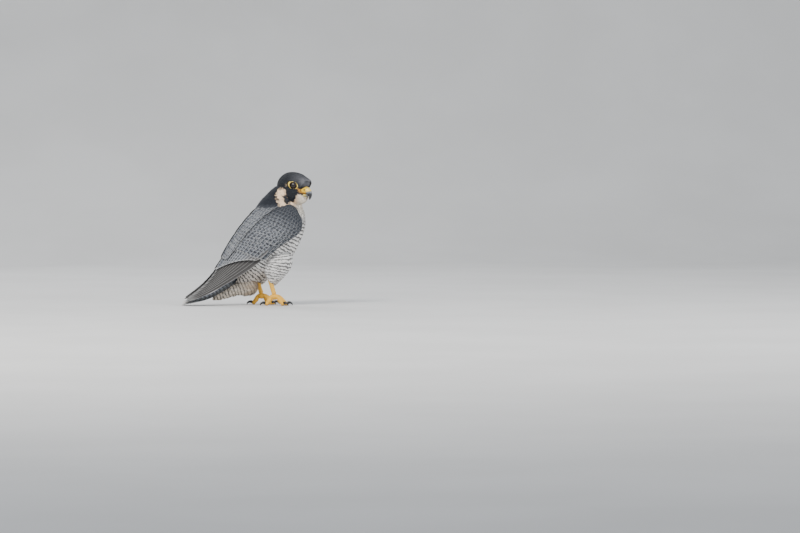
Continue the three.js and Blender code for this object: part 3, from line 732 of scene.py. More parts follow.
PLUMAGE = plumage()
BARE = painted("bare yellow skin", 0.42, 1100.0, 0.00025, 0.16, Specular_IOR_Level=0.4)
WAX = painted("waxy cere and ring", 0.46, 2200.0, 0.00006, 0.12, Specular_IOR_Level=0.3)
HORN = painted("bill horn", 0.24, 500.0, 0.00002, 0.1, Specular_IOR_Level=0.5, Coat_Weight=0.25,
               Coat_Roughness=0.2)
CLAW = painted("claw horn", 0.28, 700.0, 0.00002, 0.1, Specular_IOR_Level=0.5)
EYE = painted("eye", 0.05, 300.0, 0.0, 0.05, Specular_IOR_Level=0.35, Coat_Weight=0.4,
              Coat_Roughness=0.02)


# Markings, the same for the skin and for the feathers on it
def jagged(p, size):
    """Uneven edges for markings: size (sin(0.9 x + 2.1 sin(0.7 z)) + sin(1.1 y + 0.83 z)) / 2."""
    x, y, z = np.moveaxis(p, -1, 0)
    return size * (np.sin(x * 0.9 + 2.1 * np.sin(z * 0.7)) + np.sin(y * 1.1 + z * 0.83)) * 0.5


def pick(mask, a, b):
    """b where mask is 1 and a where it is 0."""
    return mix(a, b, np.asarray(mask)[..., None])


def coloured(tint, mark, **amounts):
    """One feather colour and dark colour for each place, and how much there is of bars, fringe and streak."""
    paint = {"tint": tint, "mark": np.broadcast_to(mark, tint.shape)}
    for key, amount in amounts.items():
        paint[key] = np.broadcast_to(np.asarray(amount, float), tint.shape[:-1])
    return paint


def paint_head(p, turn=None):
    """Hood, malar stripe, cheek, chin and collar, from places in the head's own frame."""
    x, y, z = np.moveaxis(to_head(p), -1, 0)
    side = np.abs(y)
    edge = jagged(p, 0.9)
    round_head = np.degrees(np.arctan2(side, x)) + 1.3 * edge
    # Edges as degrees round the head from the bill, by height
    malar_back = np.interp(z, [-40, -33, -28, -20, -13, -1], [64, 70, 77, 86, 90, 94])
    malar_front = np.interp(z, [-40, -33, -15, -1], [60, 54, 40, 35])
    nape_edge = np.interp(z, [-38, -34, -31, -24, -20, -5, 0], [74, 85, 94, 100, 105, 118, 121])
    nape_edge = nape_edge + 1.2 * np.sin(z * 1.1)
    cheek = ease(-1.5 + edge - z, 0, 3) * ease(round_head - malar_back, 0, 4)
    cheek = cheek * ease(nape_edge - round_head, 0, 5)
    throat = ease(malar_front - round_head, 0, 4) * ease(-11.5 + edge - z, 0, 2)
    # The collar under the malar stripe is scalloped, and joins cheek and throat
    scallop = 1.2 * np.sin(np.arctan2(side, x) * 24)
    collar = ease(-30.8 + scallop + edge - z, 0, 2) * ease(97 - round_head, 0, 5)
    white = np.clip(np.maximum(throat, collar), 0, 1)
    # The forehead and the top of the crown are painted a paler grey: partly their own colour, partly painted
    # sheen from light falling from above.
    crown = ease(x, -8, 30) * ease(z, 6, 22) + ease(x, 22, 34) * ease(z, 2, 9)
    tint = pick(crown, HOOD, FOREHEAD_GREY_AND_SHEEN)
    tint = pick(cheek, tint, CREAM)
    tint = pick(white, tint, mix(CREAM, CHIN_WHITE, ease(52 - round_head, 0, 45)[..., None]))
    # A pale spot behind the eye, and bare orange skin from the eye to the gape
    spot = bump(x + 1.5, (side - 24) * 0.3, z - 6.4, 1.6)
    tint = pick(np.clip(spot, 0, 1), tint, CREAM)
    gape = ease(x + 0.5 * z, 22, 27) * ease(z + 9.5, 0, 2) * ease(1.5 - z, 0, 3)
    tint = pick(gape * 0.85, tint, LORES_ORANGE)
    pale = np.maximum(cheek, white)
    return coloured(tint, MARK, bars=0, fringe=0.14 * (1 - pale), streak=0.10)


def paint_trunk(p, turn):
    """Pale front with streaks above and bars below, dark nape and barred blue-grey back."""
    z = p[..., 2]
    edge = jagged(p, 1.0)
    # The pale front: degrees either side of its middle, which turns with the head at the neck
    middle = -50 * ease(z, 210, 238)
    off = np.abs(np.degrees((turn + np.pi) % (2 * np.pi) - np.pi) - middle)
    limit = np.interp(z, [50, 120, 150, 185, 207, 220, 250], [112, 112, 106, 84, 50, 42, 56])
    pale = 1 - ease(off + 4 * edge, limit - 5, limit + 5)
    upper = ease(z, 182, 212)
    front = pick(upper, BREAST, CHIN_WHITE)
    front = pick(ease(88 - z, 0, 22) * ease(off, 5, 40), front, mix(BREAST, BUFF, 0.5))
    dark = pick(ease(z, 196, 222), BLUE_GREY * 0.85, HOOD * 1.3)
    tint = pick(pale, dark, front)
    mark = pick(pale, MARK, BAR)
    bars = pale * 0.92 * (1 - ease(z, 176, 194)) + (1 - pale) * 0.6 * (1 - ease(z, 196, 216))
    streak = pale * ease(z, 168, 184) * (1 - ease(z, 208, 224))
    fringe = (1 - pale) * 0.55 * (1 - ease(z, 196, 220)) + pale * 0.25
    near_head = ease(z + 2 * edge, 211, 217) * ease(26 - outside_head(p), 0, 6)
    tint = pick(near_head, tint, paint_head(p)["tint"])
    return coloured(tint, mark, bars=bars, fringe=fringe, streak=streak)


def paint_thigh(p, turn=None):
    """White-grey with fine bars, buffy above the shank."""
    tint = pick(ease(62 - p[..., 2], 0, 16), BREAST, mix(BREAST, BUFF, 0.45))
    return coloured(tint, BAR, bars=0.85, fringe=0.2, streak=0.05)


def paint_vent(p, turn=None):
    """Buffy brown fluff at the vent, then cream undertail coverts with grey bars."""
    back = ease(-p[..., 0], 48, 70)
    tint = pick(back, BUFF, UNDERTAIL_CREAM)
    return coloured(tint, BAR * 1.3, bars=0.5 + 0.35 * back, fringe=0.3, streak=0.1)


# The skin under the coat, as one closed surface
legs = {side: np.array([FOOT_FORWARD[side], side * LEG_SPREAD, 0.0]) for side in SIDES}
trunk = body(TRUNK, 0.1)
undertail = body(UNDERTAIL, 0.15)
thighs = {side: body(THIGH, 0.2, at=legs[side]) for side in SIDES}
head = head_form()


def melted(piece, grain, calming=0):
    """Melts a piece's crossing forms to one closed surface of that grain, and calms it so many times."""
    melt = piece.modifiers.new("join", "REMESH")
    melt.mode = "VOXEL"
    melt.voxel_size = grain
    if calming:
        calm = piece.modifiers.new("calm", "SMOOTH")
        calm.factor = 0.5
        calm.iterations = calming
    material = piece.data.materials[0]
    whole = bpy.data.meshes.new_from_object(piece.evaluated_get(bpy.context.evaluated_depsgraph_get()))
    piece.modifiers.clear()
    piece.data = whole
    whole.name = piece.name
    if not whole.materials:
        whole.materials.append(material)
    whole.polygons.foreach_set("use_smooth", np.ones(len(whole.polygons), bool))
    return whole


def make_skin():
    """Head, trunk, thighs and undertail, drawn in by the coat's depth, joined to one surface."""
    forms = [
        closed(head_form(-COAT_DEPTH), 72, 60),
        closed(body(TRUNK, 0.1, grow=-COAT_DEPTH), 80, 96),
        closed(body(UNDERTAIL, 0.15, grow=-COAT_DEPTH), 48, 48),
    ]
    forms += [closed(body(THIGH, 0.2, grow=-COAT_DEPTH, at=legs[side]), 48, 48) for side in SIDES]
    points, quads, triangles = joined(forms)
    nodes = ("head", "neck", "torso", "thigh_right", "thigh_left", "undertail_coverts")
    skin = add_piece("skin", points, quads, triangles, PLUMAGE, "pale_feathers", nodes)
    whole = melted(skin, SKIN_GRAIN, 4)
    bpy.context.view_layer.objects.active = skin
    for piece in bpy.context.selected_objects:
        piece.select_set(False)
    skin.select_set(True)
    bpy.ops.object.mode_set(mode="EDIT")
    bpy.ops.mesh.select_all(action="SELECT")
    bpy.ops.uv.smart_project(angle_limit=1.15, island_margin=0.004)
    bpy.ops.object.mode_set(mode="OBJECT")
    whole.uv_layers[0].name = "OFBake"
    return skin


def points_of(piece):
    """A piece's vertices in the bird's millimetres."""
    co = np.empty(len(piece.data.vertices) * 3, np.float32)
    piece.data.vertices.foreach_get("co", co)
    return co.reshape(-1, 3).astype(float) * 1000 - SHIFT


class Measure:
    """Mean length along a surface from its start, and back."""

    def __init__(self, surface):
        self.t = np.linspace(0.004, 0.996, 240)
        turns = np.linspace(0, 2 * np.pi, 8, endpoint=False)
        grid = surface(turns[None, :], self.t[:, None])
        steps = np.linalg.norm(np.diff(grid, axis=0), axis=-1).mean(1)
        self.length = np.concatenate([[0], np.cumsum(steps)])

    def at(self, t):
        return np.interp(t, self.t, self.length)

    def back(self, length):
        return np.interp(length, self.length, self.t)


def paint_skin(skin):
    """The coat's own markings on the skin."""
    p = points_of(skin)
    share, turn, _ = coordinates(TRUNK, p)
    paint = paint_trunk(p, turn)
    phase = Measure(trunk).at(share) / BAR_STEP
    below, _, close = coordinates(UNDERTAIL, p)
    mask = (close < 1.02) & (p[:, 0] < -30) & (p[:, 2] < 62)
    masks = [(mask, paint_vent(p), Measure(undertail).at(below) / VENT_STEP)]
    for side in SIDES:
        low, _, close = coordinates(THIGH, p - legs[side])
        mask = (close < 1.02) & (p[:, 2] < 104)
        masks.append((mask, paint_thigh(p), Measure(thighs[side]).at(low) / THIGH_STEP))
    masks.append((outside_head(p) < 0.4, paint_head(p), 0 * phase))
    for mask, other, cycles in masks:
        phase = np.where(mask, cycles, phase)
        for key in paint:
            paint[key] = np.where(mask[:, None] if paint[key].ndim == 2 else mask, other[key], paint[key])
    # Painted shade: the skin takes the coat's colours at 0.8, darker where it shows between the feathers.
    add_colour(skin, "tint", paint["tint"] * 0.8)
    add_colour(skin, "mark", paint["mark"])
    add_vector(skin, "look", np.stack([paint["bars"] * 0.6, phase, 0 * phase], -1))
    add_vector(skin, "more", np.zeros((len(p), 3)))
    add_map(skin, "feather", np.tile([0.5, 0.5], (len(p), 1)))


skin = make_skin()
paint_skin(skin)

# The skin's own map, read at the place nearest a feather's root
skin_tree = BVHTree.FromObject(skin, bpy.context.evaluated_depsgraph_get())
skin_corner = np.empty(len(skin.data.loops) * 2, np.float32)
skin.data.uv_layers["OFBake"].data.foreach_get("uv", skin_corner)
skin_corner = skin_corner.reshape(-1, 2)
skin_start = np.empty(len(skin.data.polygons), np.int32)
skin.data.polygons.foreach_get("loop_start", skin_start)


def bake_places(roots, q, s):
    """A small patch on the skin's map for each feather, at its root's place."""
    found = [skin_tree.find_nearest(Vector(p))[2] for p in ((roots + SHIFT) / 1000).tolist()]
    uv = np.clip(skin_corner[skin_start[np.array(found)]], PATCH, 1 - PATCH)
    q, s = np.broadcast_arrays(q, s)
    return uv[:, None, None, :] + np.stack([q * PATCH / 2, (s - 0.5) * PATCH], -1)


def tiles(count, q, s, columns):
    """Each large feather has a tile of its own on the piece's map."""
    rows = math.ceil(count / columns)
    i = np.arange(count)[:, None, None]
    q, s = np.broadcast_arrays(q, s)
    u = (i % columns + 0.5 + 0.44 * q) / columns
    v = (i // columns + 0.04 + 0.92 * s) / rows
    return np.stack([u, v], -1)


# Small feathers of head and body
def sow(surface, start, end, gap_start, gap_end):
    """Rows of roots from start to end, gap millimetres apart and 1.15 gap from root to root, each row shifted
    by half a feather against the last. Gives turn, share, gap and width of each."""
    measure = Measure(surface)
    place, stop = measure.at(start), measure.at(end)
    begin = place
    turns, shares, gaps, sides = [], [], [], []
    row = 0
    while place < stop:
        gap = mix(gap_start, gap_end, (place - begin) / (stop - begin))
        t = measure.back(place)
        ring = surface(np.linspace(0, 2 * np.pi, 73), np.full(73, t))
        edges = np.linalg.norm(np.diff(ring, axis=0), axis=-1)
        length = np.concatenate([[0], np.cumsum(edges)])
        count = max(5, int(length[-1] / (gap * 1.15)))
        where = (np.arange(count) + 0.5 * (row % 2) + chance.uniform(-0.2, 0.2, count)) / count % 1
        turns.append(np.interp(where * length[-1], length, np.linspace(0, 2 * np.pi, 73)))
        shares.append(t + chance.uniform(-0.25, 0.25, count) * (measure.back(place + gap) - t))
        gaps.append(np.full(count, gap))
        sides.append(np.full(count, length[-1] / count))
        place += gap
        row += 1
    return tuple(np.concatenate(part) for part in (turns, shares, gaps, sides))


def normal_at(surface, turn, t):
    """The surface's own direction outwards: its step along the share crossed with its step round the turn."""
    a = surface(turn + 0.01, t) - surface(turn - 0.01, t)
    b = surface(turn, np.clip(t + 0.004, 0, 1)) - surface(turn, np.clip(t - 0.004, 0, 1))
    return unit(np.cross(b, a))


def lay(surface, turn, t, length, half, sweep, low, high, grid):
    """Leaves that lie along the surface: forwards s length, sideways q half width(s), and up
    mix(low, high, s^1.3) - curl q^2 width(s)."""
    q, s = grid
    turn, t, length, half, sweep = (x[:, None, None] for x in (turn, t, length, half, sweep))
    per_turn = np.linalg.norm(surface(turn + 0.01, t) - surface(turn - 0.01, t), axis=-1) / 0.02
    ahead = np.clip(t + 0.004, 0, 1)
    behind = np.clip(t - 0.004, 0, 1)
    per_share = np.linalg.norm(surface(turn, ahead) - surface(turn, behind), axis=-1) / (ahead - behind)
    forward = s * length
    aside = q * half * leaf_width(s)
    turned = turn + (aside * np.cos(sweep) + forward * np.sin(sweep)) / np.maximum(per_turn, 3)
    moved = t + (forward * np.cos(sweep) - aside * np.sin(sweep)) / np.maximum(per_share, 20)
    moved = np.clip(moved, 0.002, 0.998)
    normal = normal_at(surface, turned, moved)
    height = mix(low, high, s**1.3) - LEAF_CURL * (q**2) * leaf_width(s)
    base = surface(turned, moved)
    top = base + normal * height[..., None]
    under = base + normal * (height - LEAF_THICK)[..., None]
    return top, under, moved


def coat(name, surface, roots, keep, paint, grid, step, lift, long=2.3, wide=0.78, ruffle=0.09):
    """Lays feathers from their roots, rising from lift[0] to lift[1], painted by the place each shows at."""
    turn, t, gap, side = (part[keep] for part in roots)
    count = len(turn)
    sweep = chance.normal(0, ruffle, count)
    length = gap * long * chance.uniform(0.88, 1.15, count)
    half = side * wide * chance.uniform(0.9, 1.1, count)
    rise = chance.uniform(-1.3, 2.4, count)[:, None, None] * ruffle
    top, under, moved = lay(surface, turn, t, length, half, sweep, lift[0], lift[1] + rise, grid)
    place = surface(turn, np.clip(t + 0.003, 0, 1))
    measure = Measure(surface)
    shown = measure.back(measure.at(t) + 0.62 * length)
    colours = paint(surface(turn, shown), turn)
    jitter = chance.normal(0, 0.10, count)[:, None, None]
    tone = chance.uniform(0.88, 1.1, count)[:, None, None, None]
    q, s = grid
    made = {key: value[:, None, None] for key, value in colours.items()}
    made.update(tint=made["tint"] * tone, phase=measure.at(moved) / step + jitter, q=q, s=s)
    slot = "dark_feathers" if name in DARK_COATS else "pale_feathers"
    feather_piece(name, top, under, made, bake_places(place, q, s), slot)


def under_wing(p, outward):
    """True where a wing's sheet lies over a point of the body."""
    u, v = np.meshgrid(np.linspace(0.02, 0.98, 50), np.linspace(0.04, 0.97, 16), indexing="ij")
    sheet = on_sheet(u, v).reshape(-1, 3)
    ids = np.arange(sheet.shape[0]).reshape(u.shape)
    quads = np.stack([ids[:-1, :-1], ids[1:, :-1], ids[1:, 1:], ids[:-1, 1:]], -1).reshape(-1, 4)
    hidden = np.zeros(len(p), bool)
    for side in SIDES:
        tree = BVHTree.FromPolygons((sheet * [1, side, 1]).tolist(), quads.tolist())
        rays = zip((p - outward * 2).tolist(), outward.tolist())
        hidden |= np.array([tree.ray_cast(Vector(a), Vector(b), 22.0)[0] is not None for a, b in rays])
    return hidden


def eye_frame(side):
    """Middle and axes of an eye in the head's frame: towards the bill, across, and the way it looks."""
    looks = unit(EYE_LOOKS * [1, side, 1])
    to_bill = np.array([math.cos(EYE_DROOP), 0, -math.sin(EYE_DROOP)])
    to_bill = unit(to_bill - looks * to_bill.dot(looks))
    return EYE_AT * [1, side, 1], np.stack([to_bill, np.cross(looks, to_bill), looks])


def near_eye(p, margin):
    """True inside the bare ring, whose outline is stretched towards the bill."""
    local = to_head(p)
    close = np.zeros(local.shape[:-1], bool)
    for side in SIDES:
        at, axes = eye_frame(side)
        x, y, z = np.moveaxis((local - at) @ axes.T, -1, 0)
        radius = np.maximum(np.hypot(x, y), 1e-6)
        stretch = np.where(x > 0, LID_POINT, LID_CORNER) * (x / radius) ** 4
        close |= (radius < LID_OUTER + stretch + margin) & (z > -4)
    return close


FINE = template(3, 5)
FULL = template(5, 7)
DARK_COATS = ("coat_head", "coat_back")

roots = sow(head, 0.17, 0.97, 2.0, 5.2)
at = head(roots[0], roots[1])
local = to_head(at)
keep = ~near_eye(at, -0.1)
keep &= coordinates(CERE, local)[2] > 1.0
keep &= coordinates(JAW, local)[2] > 1.0
keep &= coordinates(TRUNK, at)[2] > 0.93
coat("coat_head", head, roots, keep, paint_head, FINE, 5.0, (-1.2, 0.3))

roots = sow(trunk, 0.10, 0.97, 4.0, 6.6)
at = trunk(roots[0], roots[1])
outward = normal_at(trunk, roots[0], roots[1])
clear = (outside_head(at) > -1.5) & ~under_wing(at, outward)
for side in SIDES:
    clear &= coordinates(THIGH, at - legs[side])[2] > 0.9
front = np.cos(roots[0]) > -0.25
coat("coat_breast", trunk, roots, clear & front, paint_trunk, FINE, BAR_STEP, (-1.3, 0.7))
coat("coat_back", trunk, roots, clear & ~front, paint_trunk, FULL, BAR_STEP, (-1.3, 0.9), 2.6, 0.85)

for side, name in SIDES.items():
    roots = sow(thighs[side], 0.06, 0.93, 4.4, 4.0)
    at = thighs[side](roots[0], roots[1])
    keep = coordinates(TRUNK, at)[2] > 0.95
    coat(f"coat_thigh_{name}", thighs[side], roots, keep, paint_thigh, FINE, THIGH_STEP, (-1.2, 0.8), 2.7)

roots = sow(undertail, 0.10, 0.95, 5.0, 8.0)
at = undertail(roots[0], roots[1])
keep = (coordinates(TRUNK, at)[2] > 0.95) & (np.cos(roots[0]) > -0.6)
coat("coat_vent", undertail, roots, keep, paint_vent, FULL, VENT_STEP, (-1.2, 2.8), 4.6, 0.95, ruffle=0.3)


# Wings
def for_each(value, count):
    """One value for each leaf, as a column that meets the leaf grid."""
    return np.broadcast_to(np.asarray(value, float), (count,))[:, None, None]


def wing_vanes(root, tip, half, low, high, tilt, grid, base=None, shape=vane_width):
    """Vanes on the folded wing from root to tip: sideways q half width(s), and up
    mix(low, high, ease(s)) - q tilt over base(u, v)."""
    q, s = grid
    count = len(root[1])
    (u0, v0), (u1, v1) = ((for_each(x, count) for x in pair) for pair in (root, tip))
    half, low, high = (for_each(x, count) for x in (half, low, high))
    u = mix(u0, u1, s) + 0 * q
    width = q * half * shape(s) / wing_width(u)
    v = np.clip(mix(v0, v1, s) + width, 0.005, 0.995)
    height = mix(low, high, ease(s, 0, 0.4)) - q * tilt
    if base is not None:
        height = height + base(u, v)
    return on_wing(u, v, height), on_wing(u, v, height - VANE_THICK)


def mirrored(grid, side):
    """The same on the other side of the mid-plane."""
    return grid * np.array([1.0, side, 1.0])


def vane_paint(count, tint, mark, bars, fringe, streak, length, step, grid, dark_tip=0.0):
    """Paint of a set of vanes. The bars' phase is the distance along the vane over step."""
    q, s = grid
    tone = chance.uniform(0.9, 1.1, count)[:, None, None, None]
    tint = np.broadcast_to(tint, (count, 3))[:, None, None] * tone * (1 - dark_tip * (s + 0 * q)[..., None])
    phase = for_each(length, count) * s / step + chance.uniform(-0.15, 0.15, count)[:, None, None]
    paint = {"tint": tint, "mark": mark, "phase": phase + 0 * q, "q": q, "s": s}
    for key, amount in (("bars", bars), ("fringe", fringe), ("streak", streak)):
        paint[key] = for_each(amount, count)
    return paint


def stacked(paints, counts, grid):
    """The paint of several sets of vanes with one grid, as one."""
    q, s = grid
    out = {"q": q, "s": s}
    for key in ("tint", "mark", "bars", "fringe", "streak", "phase"):
        shape = (s.shape[1], q.shape[2]) + ((3,) if key in ("tint", "mark") else ())
        out[key] = np.concatenate([np.broadcast_to(p[key], (n,) + shape) for p, n in zip(paints, counts)])
    return out


LONG = template(7, 26, 1.35)
SHORT = template(5, 9, 1.2)


def primary_set():
    """The primaries, the outermost lowest, each later one over the one before."""
    share = np.linspace(0, 1, PRIMARIES)
    v = mix(0.08, 0.8, share)
    tips = along(PRIMARY_TIPS, share)
    heights = FIRST + 0.7 + share * 3.0
    ends = (arm_end(v) + 0.02, v), (tips[:, 0], tips[:, 1])
    top, under = wing_vanes(*ends, 5.4, heights, heights, 0.5, LONG, shape=pointed_width)
    paint = vane_paint(PRIMARIES, FLIGHT_BROWN, MARK, 0.0, 0.42, 0.1, 150.0, 9.0, LONG, 0.25)
    return top, under, paint, PRIMARIES


def secondary_set():
    """Secondaries and tertials with pale tips, each later one over the one before."""
    share = np.linspace(0, 1, SECONDARIES)
    v = mix(0.13, 0.88, share)
    tip = (mix(0.49, 0.71, share**1.2), mix(0.19, 0.86, share))
    height = (SECONDARY_LAYER + FLIGHT) / 2 + 0.1
    top, under = wing_vanes((arm_end(v) + 0.01, v), tip, mix(5.0, 6.6, share), height, height, 0.6, LONG)
    tint = mix(FLIGHT_BROWN * 1.5, BLUE_GREY * 1.05, ease(share, 0, 0.5)[:, None])
    bars = 0.15 + 0.55 * ease(share, 0.2, 0.6)
    paint = vane_paint(SECONDARIES, tint, MARK, bars, 0.85, 0.2, mix(30, 75, share), 7.0, LONG)
    return top, under, paint, SECONDARIES


def covert_rows():
    """Rows of coverts over the arm, small at the wrist and larger towards the greater coverts."""
    sets = []
    place = 0.012
    while place < 0.97:
        step = mix(0.052, 0.088, place)
        count = int(mix(15, 11, place))
        row = np.arange(count) + 0.5 * (len(sets) % 2) + chance.uniform(-0.12, 0.12, count)
        v = mix(0.006, 0.86, row / count)
        end = arm_end(v)
        start = end * place + chance.uniform(-0.1, 0.1, count) * step * 0.4
        reach = step * mix(2.2, 2.4, place) * 0.42
        half = mix(3.6, 5.4, place)
        greater = ease(place, 0.8, 0.93)
        tip = start + reach * (1 + 0.25 * greater)
        high = 0.9 + 0.5 * greater
        top, under = wing_vanes((start, v), (tip, v - 0.012), half, -0.9, high, 0.35, SHORT, arm_top)
        shade = ease(place, 0.12, 0.62) * ease(v, 0.0, 0.25)
        tint = mix(SLATE, BLUE_GREY, shade[:, None]) * mix(1.0, 1.1, greater)
        bars = mix(0.35, 0.85, ease(place, 0.05, 0.4))
        fringe = mix(0.22, 0.6, ease(place, 0.1, 0.7))
        paint = vane_paint(count, tint, MARK, bars, fringe, 0.35, reach * 230, 4.6, SHORT)
        sets.append((top, under, paint, count))
        place += step
    return sets


def under_scapulars(u, v):
    """Height of what the scapulars lie on: the rounded arm, and never below 7.6."""
    return np.maximum(arm_top(u, v), 7.6)


def scapular_rows():
    """The long strip of back feathers that lies over the wing's upper edge."""
    sets = []
    place = 0.015
    while place < 0.5:
        step = mix(0.026, 0.05, place / 0.5)
        count = int(mix(5, 4, place / 0.5))
        row = np.arange(count) + 0.5 * (len(sets) % 2) + chance.uniform(-0.12, 0.12, count)
        v = mix(0.74, 0.985, (row + 0.3) / (count + 0.3))
        start = place + chance.uniform(-0.004, 0.004, count)
        tip = start + step * 2.5
        half = mix(4.6, 6.6, place / 0.5)
        over = 2.6 * ease(place, 0.0, 0.1) + 0.4
        hang = over if place < 0.3 else over - (place - 0.3) * 4
        tips = (tip, v - 0.008)
        top, under = wing_vanes((start, v), tips, half, hang - 0.9, hang + 0.7, 0.4, SHORT, under_scapulars)
        tint = mix(SLATE * 1.2, BLUE_GREY * 1.08, ease(place, 0.02, 0.2))
        bars = mix(0.4, 0.75, ease(place, 0.02, 0.2))
        paint = vane_paint(count, tint, MARK, bars, 0.7, 0.3, step * 600, 5.6, SHORT)
        sets.append((top, under, paint, count))
        place += step
    return sets


def gather(sets, grid):
    """All the sets of one kind as one: top, under, paint, count."""
    top = np.concatenate([one[0] for one in sets])
    under = np.concatenate([one[1] for one in sets])
    counts = [one[3] for one in sets]
    return top, under, stacked([one[2] for one in sets], counts, grid), sum(counts)


def core(before, past, v_low, v_high, low, high, grid, tint):
    """The wing's flesh under its vanes, from u = before to past the arm's end, between two heights."""
    q, s = grid
    v = mix(v_low, v_high, (q + 1) / 2) + 0 * s
    end = arm_end(v)
    u = mix(before if before >= 0 else end + before, end + past, s)
    height = arm_top(u, v) - 0.7 if high is None else high
    top, under = on_wing(u, v, height), on_wing(u, v, low)
    return top, under, vane_paint(1, tint, MARK, 0.0, 0.0, 0.0, 50.0, 9.0, grid), 1


primary = primary_set()
primary_core = core(-0.02, 0.08, 0.02, 0.9, FIRST, 4.8, LONG, BLUE_GREY * 0.6)
secondary = secondary_set()
secondary_core = core(-0.02, 0.06, 0.08, 0.96, SECONDARY_LAYER - 0.4, FLIGHT - 0.9, LONG, BLUE_GREY * 0.6)
arm_core = core(0.004, 0.01, 0.004, 0.996, FIRST, None, SHORT, SLATE)
covert_set = gather([arm_core] + covert_rows() + scapular_rows(), SHORT)
primary_all = gather([primary_core, primary], LONG)
secondary_all = gather([secondary_core, secondary], LONG)
for side, name in SIDES.items():
    for kind, (top, under, paint, count), grid, slot, wide in (
        ("primaries", primary_all, LONG, "flight_feathers", 4),
        ("secondaries", secondary_all, LONG, "dark_feathers", 5),
        ("coverts", covert_set, SHORT, "dark_feathers", 18),
    ):
        feather_piece(f"wing_{name}_{kind}_feathers", mirrored(top, side), mirrored(under, side), paint,
                      tiles(count, *grid, wide), slot, (f"wing_{name}_{kind}",))


# Tail: pairs of feathers, the middle pair on top
def tail_set():
    """The tail feathers, each pair's middle at mix(half, outer edge - half, share), and lower by pair."""
    q, s = LONG
    count = 2 * TAIL_PAIRS
    pair = np.repeat(np.arange(TAIL_PAIRS), 2)
    side = np.tile([-1.0, 1.0], TAIL_PAIRS)[:, None, None]
    share = (pair / (TAIL_PAIRS - 1))[:, None, None]
    u = mix(0.08, 1 - 0.05 * share, s) + 0 * q
    half = 6.6 * vane_width(s)
    middle = mix(GAP / 2 + half, mix(TAIL_ROOT_HALF, TAIL_TIP_HALF, u) + 1 - half, share)
    height = TAIL_THICK / 2 - 0.3 - pair[:, None, None] * 0.83
    aside = side * middle + q * half
    top, under = on_tail(u, aside, height - 0.25 * q**2 + 0.1), on_tail(u, aside, height - 0.3)
    paint = vane_paint(count, TAIL_SLATE * 1.1, TAIL_BAND, 0.85, 0.55, 0.0, 140.0, 10.5, LONG)
    paint["tint"] = mix(paint["tint"], TAIL_TIP, ease(s, 0.93, 1.0)[..., None])
    return top, under, paint, count


q, s = LONG
root_u = 0.2 * s + 0 * q
root_y = q * mix(TAIL_ROOT_HALF, TAIL_TIP_HALF, root_u)
root_faces = [on_tail(root_u, root_y, height) for height in (TAIL_THICK / 2 - 0.8, 0.6 - TAIL_THICK / 2)]
tail_core = (*root_faces, vane_paint(1, TAIL_SLATE, MARK, 0.0, 0.0, 0.0, 30.0, 9.0, LONG), 1)
top, under, paint, count = gather([tail_core, tail_set()], LONG)
for grid in (top, under):
    grid[..., 2] = np.maximum(grid[..., 2], 0.02)
feather_piece("tail_feathers", top, under, paint, tiles(count, q, s, 5), "tail_feathers", ("tail",))


# Eyes, rings and bill, in the head's own frame
def tinted(name, form, colours, material, slot, stands_for):
    """A closed piece with one colour for each vertex, or one for all."""
    points, quads, triangles = form
    piece = add_piece(name, points, quads, triangles, material, slot, stands_for)
    add_colour(piece, "tint", np.broadcast_to(colours, points.shape))
    return piece


def ball(turn, t):
    """The unit ball: (sin(pi t) cos(turn), sin(pi t) sin(turn), cos(pi t))."""
    turn, t = np.broadcast_arrays(turn, t)
    ring = np.sin(np.pi * t)
    return np.stack([ring * np.cos(turn), ring * np.sin(turn), np.cos(np.pi * t)], -1)


def make_eye(side, name):
    """A ball whose front shows a dark brown iris round a black pupil."""
    at, axes = eye_frame(side)
    form = closed(lambda turn, t: from_head(ball(turn, t) * EYE_RADIUS @ axes + at), 64, 48)
    local = (to_head(form[0]) - at) @ axes.T
    radius = np.hypot(local[:, 0], local[:, 1])
    rays = 0.15 * np.sin(np.arctan2(local[:, 1], local[:, 0]) * 23)
    iris = pick(ease(radius, PUPIL_RADIUS, PUPIL_RADIUS + 0.5), PUPIL, IRIS) * (1 + rays)[:, None]
    colours = pick(ease(radius, IRIS_RADIUS, IRIS_RADIUS + 0.7), iris, EYE_EDGE)
    tinted(f"eye_ball_{name}", form, colours, EYE, "eye", (f"eye_{name}",))


def make_ring(side, name):
    """The bare ring: a closed rim turned about the eye, its outer edge drawn out to both corners by
    stretch cos(turn)^4."""
    at, axes = eye_frame(side)
    k = np.linspace(0, 1, 40, endpoint=False)
    looped = np.array(LID_RIM[-1:] + LID_RIM + LID_RIM[:2])
    profile = along(looped, (k * len(LID_RIM) + 1) / (len(looped) - 1))
    turn = np.arange(96) * 2 * np.pi / 96
    r, z = profile[:, 0][:, None], profile[:, 1][:, None]
    x, y = r * np.cos(turn), r * np.sin(turn)
    share = np.clip((r - 7.3) / (LID_OUTER - 7.3), 0, 1)
    stretch = share * np.where(x > 0, LID_POINT, LID_CORNER) * np.cos(turn) ** 4
    far = (r + stretch) / r
    deep = z - LID_FALL * r**2 * (far**2 - 1)
    grid = from_head(np.stack([x * far, y * far, deep + 0 * x], -1) @ axes + at)
    ids = np.arange(grid.shape[0] * grid.shape[1]).reshape(grid.shape[:2])
    nxt, beside = np.roll(ids, -1, 0), np.roll(ids, -1, 1)
    quads = np.stack([ids, beside, np.roll(beside, -1, 0), nxt], -1).reshape(-1, 4)
    points = grid.reshape(-1, 3)
    d, e, f = (points[quads[:, j]] - points.mean(0) for j in range(3))
    if np.einsum("ij,ij->", d, np.cross(e, f)) < 0:
        quads = quads[:, ::-1]
    piece = add_piece(f"eye_ring_{name}", points, quads, None, WAX, "bare_yellow", (f"lid_{name}",))
    tone = ease(np.broadcast_to(r, x.shape), 7.55, 7.9).reshape(-1)
    add_colour(piece, "tint", pick(tone, LID_DARK_AND_MOUTH_SHADE, LID_YELLOW))


for side, name in SIDES.items():
    make_eye(side, name)
    make_ring(side, name)

